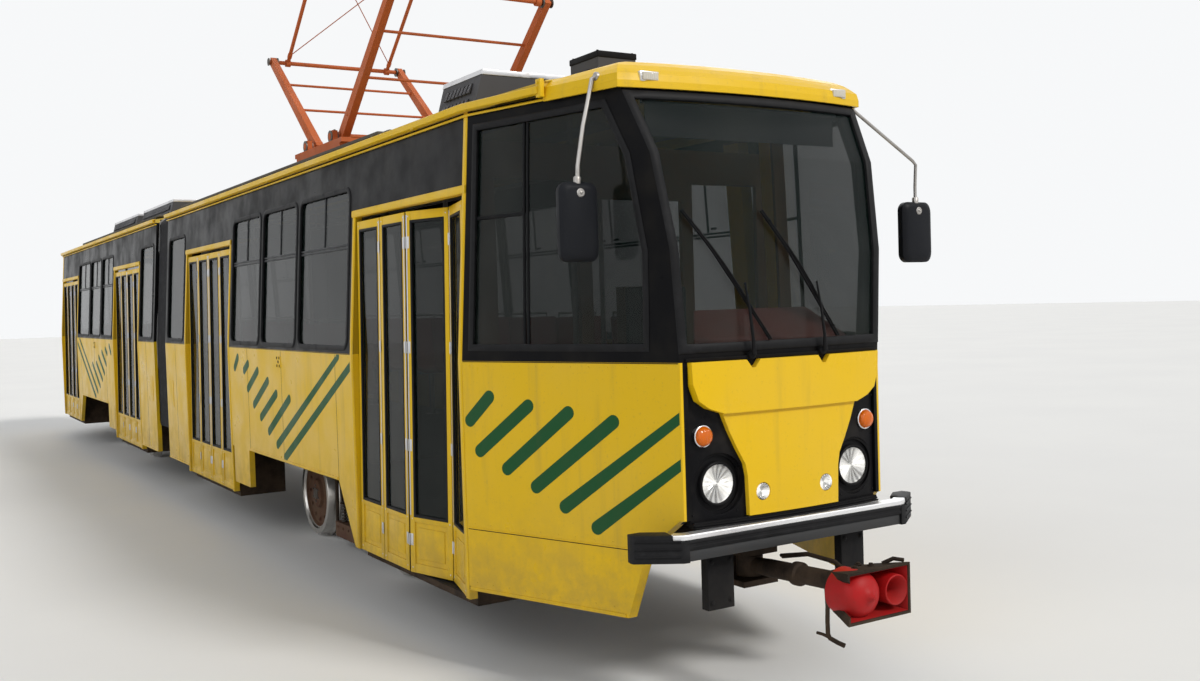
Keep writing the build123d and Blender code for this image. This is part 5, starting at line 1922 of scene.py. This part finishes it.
class TRAM_OT_wheelsets(bpy.types.Operator):
    """Builds the wheelsets with polished treads, bolted wheel centres and axle caps"""

    bl_idname = "tram.wheelsets"
    bl_label = "Wheelsets"

    def execute(self, context):
        z = WHEEL_RADIUS
        for name, y in WHEELSETS:
            tyres, centres, axle = Shape(), Shape(), Shape()
            for side in BOTH:
                out = (side, 0, 0)
                tyres.turned((side * WHEEL_FACE_X, y, z), out, TYRE, 64)
                centres.turned((side * WHEEL_FACE_X, y, z), out, WHEEL_CENTRE, 56)
                for place in circle((side * (WHEEL_FACE_X + 0.046), y, z), Y_AXIS, Z_AXIS, 0.225, 12):
                    centres.bolt(place, out, 0.013)
                for place in circle((side * (WHEEL_FACE_X + 0.078), y, z), Y_AXIS, Z_AXIS, 0.068, 6, 0.5):
                    axle.bolt(place, out, 0.009, 0.006)
                axle.turned(
                    (side * (WHEEL_FACE_X + 0.07), y, z), out,
                    [(0, 0.05), (0.012, 0.05), (0.0145, 0.04), (0.0145, 0.0)], 28,
                )
                axle.turned(
                    (side * 0.405, y, z), out, [(0, 0.065), (0.062, 0.065), (0.064, 0.095), (0.066, 0.095)],
                    28,
                )
            axle.turned(
                (-0.41, y, z), X_AXIS,
                [(0, 0.0645), (0.1, 0.0645), (0.105, 0.058), (0.715, 0.058), (0.72, 0.0645), (0.82, 0.0645)],
                28,
            )
            made = tyres.piece(f"{name}_tyres", "tread", name)
            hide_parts(name)
            centres.piece(f"{name}_centres", "bogie", name)
            axle.piece(f"{name}_axle", "dark_steel", name)
        return {"FINISHED"}


class TRAM_OT_bogies(bpy.types.Operator):
    """Adds springs, brakes, magnets, cables and bolts to the bogie frames"""

    bl_idname = "tram.bogies"
    bl_label = "Bogies"

    def execute(self, context):
        for name, y in BOGIES:
            springs, brakes, plates = Shape(), Shape(), Shape()
            for side in BOTH:
                out = (side, 0, 0)
                x = side * SPRING_X
                for dy in (-SPRING_Y, SPRING_Y):
                    coil(springs, (x, y + dy, 0.575), (x, y + dy, 0.735), 0.046, 0.011, 5, 8)
                    plates.turned((x, y + dy, 0.568), Z_AXIS, [(0, 0.062), (0.01, 0.062), (0.014, 0.04)], 24)
                for way in BOTH:
                    axle_y = y + way * HALF_WHEELBASE
                    for dy in (-0.06, 0.06):
                        for z in (0.3, 0.43):
                            plates.bolt((side * FRAME_FACE_X, axle_y + dy, z), out, 0.012)
                    plates.pad((x, axle_y), (0.055, 0.1), (0.262, 0.272), 0.003)
                    pipe = [(0.3, -0.26, 0.6), (0.34, -0.16, 0.66), (0.36, 0.02, 0.655)]
                    brakes.tube([(side * dx, axle_y + way * dy, z) for dx, dy, z in pipe], 0.012, 8)
                    guard = [(0.52, -0.42, 0.55), (GUARD_X, -0.42, 0.3), (GUARD_X, -0.405, 0.12)]
                    brakes.tube([(side * dx, axle_y + way * dy, z) for dx, dy, z in guard], 0.014, 10)
                    brakes.pad((side * GUARD_X, axle_y - way * 0.42), (0.03, 0.04), (0.545, 0.6), 0.006)
                x = side * MAGNET_X
                for k in range(7):
                    dy = -0.36 + 0.12 * k
                    plates.bolt((x + side * 0.04, y + dy, 0.15), out, 0.009)
                    brakes.pad((x, y + dy), (0.036, 0.05), (0.064, 0.086), 0.004)
                for dy in (-0.3, 0.3):
                    coil(springs, (x, y + dy, 0.192), (x, y + dy, 0.34), 0.022, 0.006, 6)
                    brakes.tube([(x, y + dy, 0.19), (x, y + dy, 0.4)], 0.009, 8)
                    brakes.pad((x, y + dy), (0.03, 0.03), (0.34, 0.352), 0.003)
                    brakes.tube([(x, y + dy, 0.395), (side * 0.4, y + dy, 0.48)], 0.014, 8)
                for k in range(9):
                    plates.rivet((side * FRAME_FACE_X, y - 1.2 + 0.3 * k, 0.515), out, 0.01)
            for way in BOTH:
                motor_y = y + way * MOTOR_Y
                for side in BOTH:
                    for place in circle((side * 0.1807, motor_y, MOTOR_Z), Y_AXIS, Z_AXIS, 0.16, 10):
                        plates.bolt(place, (side, 0, 0), 0.009)
                case = [
                    (0, 0.1925), (0.02, 0.1925), (0.02, 0.191), (0.18, 0.191), (0.18, 0.1925), (0.2, 0.1925),
                ]
                plates.turned((-0.1, motor_y, MOTOR_Z), X_AXIS, case, 48)
                for x, z in ((0.1, 0.66), (0.15, 0.655)):
                    cable = [(x, MOTOR_Y, 0.585), (x + 0.02, 0.3, z), (x + 0.02, 0.18, 0.7)]
                    brakes.tube([(a, y + way * b, c) for a, b, c in cable], 0.018, 10)
                for x in (-0.3, -0.1, 0.1, 0.3):
                    plates.bolt((x, y + way * 1.3, 0.515), (0, way, 0), 0.012)
            springs.piece(f"{name}_springs", "dark_steel", name)
            brakes.piece(f"{name}_brakes", "frame", name)
            plates.piece(f"{name}_plates", "bogie", name)
        return {"FINISHED"}


# Articulation

BELLOWS_STEPS = 12
BELLOWS_FOLD = 0.045


def bellows_ring(y, inset, foot=0.7):
    """The cover's outline at one place, from the foot of one side over the top to the other."""
    corners = [(1.06, foot), (1.06, BELT_Z), (0.975, 2.95), (0.9, 3.01), (0.6, 3.05)]
    half = [(x - inset, z - (inset if z > 2 else 0)) for x, z in corners]
    line = half + [(-x, z) for x, z in reversed(half)]
    return [Vector((x, y, z)) for x, z in divided(line, 0.35, closed=False)]


def bellows_clamps(shape):
    """The frame that clamps one end of the cover, with its rivets."""
    path = bellows_ring(SECTION_END_Y - 0.014, -0.006, 0.72)
    outs = [Vector((1 if p.x > 0 else -1, 0, 0)) if p.z < 2.9 else Vector(Z_AXIS) for p in path]
    shape.sweep(
        path, outs,
        [(-0.014, -0.03), (0.014, -0.03), (0.014, 0.002), (0.01, 0.006), (-0.01, 0.006), (-0.014, 0.002)],
        False,
    )
    for side in BOTH:
        for k in range(12):
            z = 0.8 + 0.17 * k
            x = side_place(side, 0, z).x - side * 0.036
            shape.rivet((x, SECTION_END_Y - 0.014, z), (side, 0, 0), 0.007)


class TRAM_OT_bellows(bpy.types.Operator):
    """Builds the pleated cover of the articulation and its clamping frames"""

    bl_idname = "tram.bellows"
    bl_label = "Bellows"

    def execute(self, context):
        shape = Shape()
        length = 2 * -SECTION_END_Y
        outer, inner = [], []
        for step in range(2 * BELLOWS_STEPS + 1):
            y = SECTION_END_Y + length * step / (2 * BELLOWS_STEPS)
            inset = BELLOWS_FOLD if step % 2 else 0.0
            for shift in (-0.006, 0.006) if 0 < step < 2 * BELLOWS_STEPS else (0.0,):
                outer.append(bellows_ring(y + shift, inset))
                inner.append(bellows_ring(y + shift, inset + 0.006))
        shape.loft(outer, caps=False, closed=False)
        shape.loft(inner, caps=False, closed=False)
        made = shape.piece("bellows_cover", "fabric", None, smooth=50)
        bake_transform(made)
        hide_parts("bellows")
        both_ends(bellows_clamps, "aluminium")
        return {"FINISHED"}


# Inside

# Seats: x and y of each
SEATS = [
    (0.75, -7.0), (0.75, -6.25), (0.75, -5.5), (0.75, -4.75), (0.75, -4.0), (0.75, -3.25),
    (0.75, -2.5), (0.75, -1.75), (-0.75, -5.25), (-0.75, -4.5), (-0.75, -3.75),
]
# A seat shell's side view (y, z), its stations across (x, lift) and the height where its back begins
SEAT_SIDE = [
    (0.01, 1.3), (-0.006, 1.322), (0.01, 1.338), (0.08, 1.34), (0.2, 1.33), (0.33, 1.334),
    (0.38, 1.36), (0.405, 1.43), (0.43, 1.6), (0.45, 1.79), (0.456, 1.815), (0.47, 1.81),
    (0.462, 1.76), (0.444, 1.59), (0.42, 1.42), (0.395, 1.34), (0.34, 1.312), (0.2, 1.308), (0.08, 1.316),
]
SEAT_STATIONS = [
    (-0.212, 0.03), (-0.2, 0.026), (-0.15, 0.008), (0.0, 0.0), (0.15, 0.008), (0.2, 0.026), (0.212, 0.03),
]
SEAT_BEND_Z = 1.36
# Hand poles: x and y
POLES = [(-0.36, -5.9), (-0.36, -2.94), (-0.36, -7.6), (-0.36, -1.15), (0.33, -6.8), (0.33, -2.05)]


def seat_shells(shape):
    """Moulded seat shells."""
    for x, y in SEATS:
        rings = []
        for across, lift in SEAT_STATIONS:
            ring = [(y + a - lift, z) if z > SEAT_BEND_Z else (y + a, z + lift) for a, z in SEAT_SIDE]
            rings.append([Vector((x + across, a, z)) for a, z in ring])
        shape.loft(rings)


def seat_frames(shape):
    """Legs, feet, supports and grips of the seats."""
    for x, y in SEATS:
        shape.tube([(x, y + 0.21, FLOOR_Z), (x, y + 0.21, 1.312)], 0.026, 12)
        shape.turned((x, y + 0.21, FLOOR_Z), Z_AXIS, [(0, 0.075), (0.006, 0.075), (0.01, 0.034)], 20)
        shape.pad((x, y + 0.21), (0.15, 0.11), (1.292, 1.309), 0.004)
        grip = [(-0.16, 0.468, 1.74), (-0.16, 0.48, 1.845), (0.16, 0.48, 1.845), (0.16, 0.468, 1.74)]
        shape.tube([(x + a, y + b, z) for a, b, z in grip], 0.01, 8)


def hand_poles(shape):
    """Upright poles and the rails under the ceiling."""
    for x, y in POLES:
        shape.tube([(x, y, FLOOR_Z), (x, y, 2.958)], 0.017, 12)
        shape.turned((x, y, FLOOR_Z), Z_AXIS, [(0, 0.04), (0.008, 0.04), (0.012, 0.022)], 18)
        shape.disc((x, y, 2.78), Z_AXIS, 0.024, 0.045, 14)
    for x in (-0.36, 0.33):
        shape.tube([(x, -7.6, 2.8), (x, -0.75, 2.8)], 0.016, 10)
        for k in range(7):
            shape.tube([(x, k - 7.1, 2.8), (x, k - 7.1, 2.99)], 0.01, 8)


def linings(shape):
    """Ceiling strips and the heater boxes along the walls."""
    for x in (-0.62, 0.0, 0.62):
        shape.box((x - 0.075, -7.4, 2.958), (x + 0.075, -0.5, 2.985), 0.006)
    shape.box((0.955, -7.55, 0.905), (1.025, -5.98, 1.1), 0.004)
    for side in BOTH:
        for y in (-5.2, -4.2, -3.2):
            shape.box((side * 0.98 - 0.05, y - 0.42, 0.96), (side * 0.98 + 0.05, y + 0.28, 1.13), 0.008)


def floor_covering(shape):
    """Floor covering and the ribbed edges of the steps."""
    shape.box((-0.355, -7.66, FLOOR_Z), (1.045, -0.62, FLOOR_Z + 0.003))
    shape.box((-1.045, -5.885, FLOOR_Z), (-0.357, -2.955, FLOOR_Z + 0.003))
    for _, start, end in DOORWAYS:
        for x, z, depth in ((-1.035, 0.336, 0.37), (-0.655, 0.62, 0.27)):
            shape.box((x, start + 0.06, z), (x + depth, end - 0.06, z + 0.003))
        for x, z in ((-1.038, 0.336), (-0.66, 0.622), (-0.38, FLOOR_Z + 0.002)):
            for k in range(3):
                shape.box(
                    (x + 0.004 + 0.012 * k, start + 0.06, z), (x + 0.01 + 0.012 * k, end - 0.06, z + 0.004),
                )


def cab_fittings():
    """The desk's switches and lever, the cab seat's pads, the sun blind and the pillars' cladding."""
    desk, seat, blind = Shape(), Shape(), Shape()
    desk.box((-0.515, -8.795, 1.56), (0.515, -8.5, 1.615), 0.012)
    desk.loft(
        [
            [Vector((x, y, z)) for y, z in ((-8.49, 1.545), (-8.44, 1.478), (-8.5, 1.47), (-8.6, 1.5))]
            for x in (-0.5, 0.5)
        ]
    )
    for k in range(9):
        x = -0.4 + 0.1 * k
        desk.turned(
            (x, -8.53, 1.612), (0, 0.1, 1), [(0, 0.014), (0.012, 0.014), (0.02, 0.009), (0.028, 0.008)], 14,
        )
    for x in (-0.18, 0.0, 0.18):
        desk.turned(
            (x, -8.66, 1.612), (0, 0.35, 1), [(0, 0.052), (0.022, 0.052), (0.028, 0.046), (0.024, 0.042)], 28,
        )
    cowl = [
        [(-0.42, -8.79, 1.61), (0.58, -8.79, 1.61), (0.58, -8.46, 1.61), (-0.15, -8.46, 1.61)],
        [(-0.42, -8.79, 1.73), (0.58, -8.79, 1.715), (0.62, -8.43, 1.865), (-0.15, -8.43, 1.865)],
    ]
    desk.round_edges(desk.faces([Vector(point) for ring in cowl for point in ring], CUBE_FACES), 0.016, 3)
    desk.tube([(0.32, -8.56, 1.6), (0.32, -8.5, 1.7), (0.32, -8.49, 1.72)], [0.01, 0.009, 0.018], 12)
    seat.box((-0.225, -8.245, 1.4), (0.225, -7.85, 1.465), 0.028)
    seat.box((-0.205, -7.905, 1.45), (0.205, -7.835, 2.0), 0.028)
    for x in (-0.25, 0.25):
        seat.box((x - 0.025, -8.15, 1.6), (x + 0.025, -7.86, 1.635), 0.014)
    blind.box((-0.6, -8.7, 2.7), (0.6, -8.694, 2.86), 0.002)
    blind.tube([(-0.62, -8.697, 2.862), (0.62, -8.697, 2.862)], 0.01, 10)
    pillars = Shape()
    for skin, start, end in ((CAB_SIDE[1], -7.981, -7.839), (SIDE[1], -7.551, -7.409)):
        rings = []
        for z in (FLOOR_Z, BELT_Z, 2.15, 2.6, 2.895):
            ring = [(start, -0.049), (end, -0.049), (end, -0.132), (start, -0.132)]
            rings.append([skin.at(y, z, out) for y, out in ring])
        pillars.loft(rings)
    pillars.piece("cab_pillar_cladding", "yellow", "front_section")
    desk.piece("desk_fittings", "desk", "front_section")
    seat.piece("driver_seat_pads", "fabric", "front_section")
    blind.piece("sun_blind", "grey", "front_section")


class TRAM_OT_inside(bpy.types.Operator):
    """Builds seats, poles, ceiling, floor covering, desk and the cab's fittings"""

    bl_idname = "tram.inside"
    bl_label = "Inside"

    def execute(self, context):
        both_ends(seat_shells, "seat", node="seats")
        both_ends(seat_frames, "steel")
        both_ends(hand_poles, "steel")
        both_ends(linings, "ceiling")
        both_ends(floor_covering, "rubber")
        cab_fittings()
        return {"FINISHED"}


# Seams and small fittings of the body

RIVET_RADIUS = 0.0045

# Upright panel joints below the belt: side, y, low z
JOINTS = [
    (-1, -3.47, 0.765), (-1, -5.64, 0.765), (-1, -4.41, 0.765), (-1, -0.76, 0.41), (1, -7.25, 0.41),
    (1, -5.9, 0.41), (1, -4.45, 0.765), (1, -3.0, 0.41), (1, -1.7, 0.41), (1, -0.7, 0.41),
]


def mouldings(shape):
    """The skirt's folded edges and the hatches."""
    edge = ring_profile(0.01, 0.005, 0.003)
    spans = [
        (1, -7.64, -5.86, 0.415), (1, -3.04, -0.305, 0.415), (1, -5.63, -3.27, 0.775),
        (-1, -1.18, -0.305, 0.415), (-1, -5.62, -3.43, 0.775),
    ]
    for side, start, end, z in spans:
        line_trim(shape, SIDE[side], [(start, z), (end, z)], 0.8, edge)
    for side in BOTH:
        trim(
            shape, CAB_SIDE[side], [(-7.655, 0.742), (-8.2, 0.742), (-8.745, 0.742)],
            ring_profile(0.004, 0.003, 0.003), False,
        )
        trim(shape, CAB_SIDE[side], [(-7.655, 0.415), (-8.15, 0.415), (-8.63, 0.415)], edge, False)
    for side, y, z, half, rise in (
        (-1, -4.355, 1.535, 0.06, 0.045), (1, -6.6, 0.7, 0.26, 0.18), (1, -2.35, 0.7, 0.26, 0.18),
        (1, -0.52, 1.1, 0.1, 0.14), (-1, -0.52, 1.1, 0.09, 0.14),
    ):
        laid(shape, SIDE[side], rounded_box_path((y - half, y + half), (z - rise, z + rise), 0.012, 3), 0.003)


def panel_joints(shape):
    """Dark joints between panels, hinges of the hatches and the belt's rubber line."""
    for side, y, low in JOINTS:
        laid(shape, SIDE[side], patch(y - 0.0022, y + 0.0022, low, 1.622), 0.0006)
    for side, start, end in ((-1, -5.938, -2.904), (-1, -1.188, -0.302), (1, CAB_START_Y, -0.302)):
        laid(shape, SIDE[side], patch(start, end, 1.6245, 1.6285), 0.0012)
    for side in BOTH:
        laid(shape, CAB_SIDE[side], patch(-7.652, -8.95, 1.6245, 1.6285), 0.0012)
        laid(shape, CAB_SIDE[side], patch(-7.6515, -7.6475, 0.41, 2.94), 0.0006)
        laid(shape, CAB_SIDE[side], patch(-7.655, -8.752, 0.7335, 0.737), 0.0006)
    for y in (-4.385, -4.325):
        for z in (1.565, 1.505):
            shape.block(SIDE[-1].at(y, z, 0.003), (0.004, 0.006, 0.01), 0.002)
    shape.turned(
        SIDE[-1].at(-4.355, 1.535, 0.001), (-1, 0, 0), [(0, 0.012), (0.004, 0.012), (0.006, 0.007)], 16,
    )
    for side, y in ((1, -6.6), (1, -2.35)):
        for k in range(6):
            z = 0.6 + 0.035 * k
            laid(shape, SIDE[side], patch(y - 0.18, y + 0.18, z, z + 0.014), 0.0045)


def rivets(shape):
    """Rows of rivets under the windows, over the bogie openings and along the skirt."""
    for side, start, end in ((-1, -5.9, -2.95), (-1, -1.15, -0.35), (1, -7.6, -0.35)):
        count = int((end - start) / 0.11)
        for k in range(count + 1):
            y = start + (end - start) * k / count
            over_bogie = -5.6 < y < (-3.45 if side < 0 else -3.3)
            heights = [1.606] + ([0.795] if over_bogie else [0.44] if side > 0 else [])
            for z in heights:
                shape.rivet(SIDE[side].at(y, z), (side, 0, 0), RIVET_RADIUS)
    for side in BOTH:
        for k in range(12):
            y = -7.7 - 0.108 * k
            for z, end in ((1.606, -9.0), (0.765, -8.7), (0.45, -8.58)):
                if y > end:
                    shape.rivet(CAB_SIDE[side].at(y, z), CAB_SIDE[side].normal(y, z), RIVET_RADIUS)


def door_headers(shape):
    """The trim round each doorway and the front post that runs up to the gutter."""
    header = [
        (-0.022, -0.002), (0.022, -0.002), (0.022, 0.006), (0.016, 0.01), (-0.016, 0.01), (-0.022, 0.006),
    ]
    post = [
        (-0.018, -0.002), (0.018, -0.002), (0.018, 0.002), (0.013, 0.005), (-0.013, 0.005), (-0.018, 0.002),
    ]
    for _, start, end in DOORWAYS:
        line_trim(shape, SIDE[-1], [(start, 2.543), (end, 2.543)], 0.5, header)
        for y in (start + 0.024, end - 0.024):
            line_trim(shape, SIDE[-1], [(y, z) for z in (0.355, 1.55, 1.71, 2.53)], 0.5, post)
    line_trim(shape, SIDE[-1], [(-7.626, 2.55), (-7.626, 2.93)], 0.2, post)


def front_trim(shape):
    """The ribbed shelf over the bumper, the bowls' ridges and the screws of the front."""
    for k, z in enumerate((0.864, 0.874, 0.884)):
        line = [(x, z) for x in (-0.58, -0.4, -0.2, 0.0, 0.2, 0.4, 0.58)]
        trim(
            shape, FRONT, line,
            [(-0.004, -0.05), (0.004, -0.05), (0.004, 0.02 - 0.006 * k), (-0.004, 0.022 - 0.006 * k)], False,
        )
    x, z, y = LAMP_PLACES["head"]
    for side in BOTH:
        for radius, depth in ((0.137, 0.033), (0.1245, 0.019), (0.1115, 0.006)):
            shape.turned(
                (side * x, y - depth + 0.006, z), AHEAD,
                [
                    (0, radius - 0.003), (0, radius + 0.003), (0.008, radius + 0.002),
                    (0.008, radius - 0.002), (0, radius - 0.003),
                ],
                48,
            )
        for a, b in ((0.585 * side, 1.4), (0.575 * side, 0.92), (0.33 * side, 0.92)):
            shape.rivet(FRONT.at(a, b, -0.013), AHEAD, 0.006)
    line = [(x, 1.64) for x in (-0.6, -0.45, -0.3, -0.15, 0.0, 0.15, 0.3, 0.45, 0.6)]
    trim(shape, FRONT, line, [(-0.008, -0.003), (0.008, -0.003), (0.008, 0.01), (-0.008, 0.014)], False)


class TRAM_OT_fittings(bpy.types.Operator):
    """Adds belt mouldings, panel joints, hatches, rivets and the door headers"""

    bl_idname = "tram.fittings"
    bl_label = "Fittings"

    def execute(self, context):
        both_ends(mouldings, "yellow")
        both_ends(panel_joints, "black")
        both_ends(rivets, "body")
        both_ends(door_headers, "yellow")
        both_ends(front_trim, "black")
        return {"FINISHED"}


# The operators in the order in which they run
OPERATORS = [
    TRAM_OT_stage, TRAM_OT_finishes, TRAM_OT_stripes, TRAM_OT_windows, TRAM_OT_doors, TRAM_OT_lamps,
    TRAM_OT_bumpers, TRAM_OT_couplers, TRAM_OT_mirrors, TRAM_OT_wipers, TRAM_OT_roof, TRAM_OT_pantograph,
    TRAM_OT_wheelsets, TRAM_OT_bogies, TRAM_OT_bellows, TRAM_OT_inside, TRAM_OT_fittings,
]


class TRAM_PT_panel(bpy.types.Panel):
    """Lists the tram's groups of pieces"""

    bl_idname = "TRAM_PT_panel"
    bl_label = "Articulated tram"
    bl_space_type = "VIEW_3D"
    bl_region_type = "UI"
    bl_category = "Tram"

    def draw(self, context):
        for settings in (context.scene.tram_colours, context.scene.tram_stage):
            for name in settings.__annotations__:
                self.layout.prop(settings, name)
        for each in OPERATORS:
            self.layout.operator(each.bl_idname)


CLASSES = [TramColours, TramStage, *OPERATORS, TRAM_PT_panel]


def register():
    """Registers the classes and the scene's settings."""
    for each in CLASSES:
        bpy.utils.register_class(each)
    bpy.types.Scene.tram_colours = bpy.props.PointerProperty(type=TramColours)
    bpy.types.Scene.tram_stage = bpy.props.PointerProperty(type=TramStage)


def unregister():
    """Takes the classes and settings away again."""
    del bpy.types.Scene.tram_stage
    del bpy.types.Scene.tram_colours
    for each in reversed(CLASSES):
        bpy.utils.unregister_class(each)


def main():
    """Registers the add-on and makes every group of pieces."""
    register()
    for each in OPERATORS:
        getattr(bpy.ops.tram, each.bl_idname.split(".")[1])()


if __name__ == "__main__":
    main()
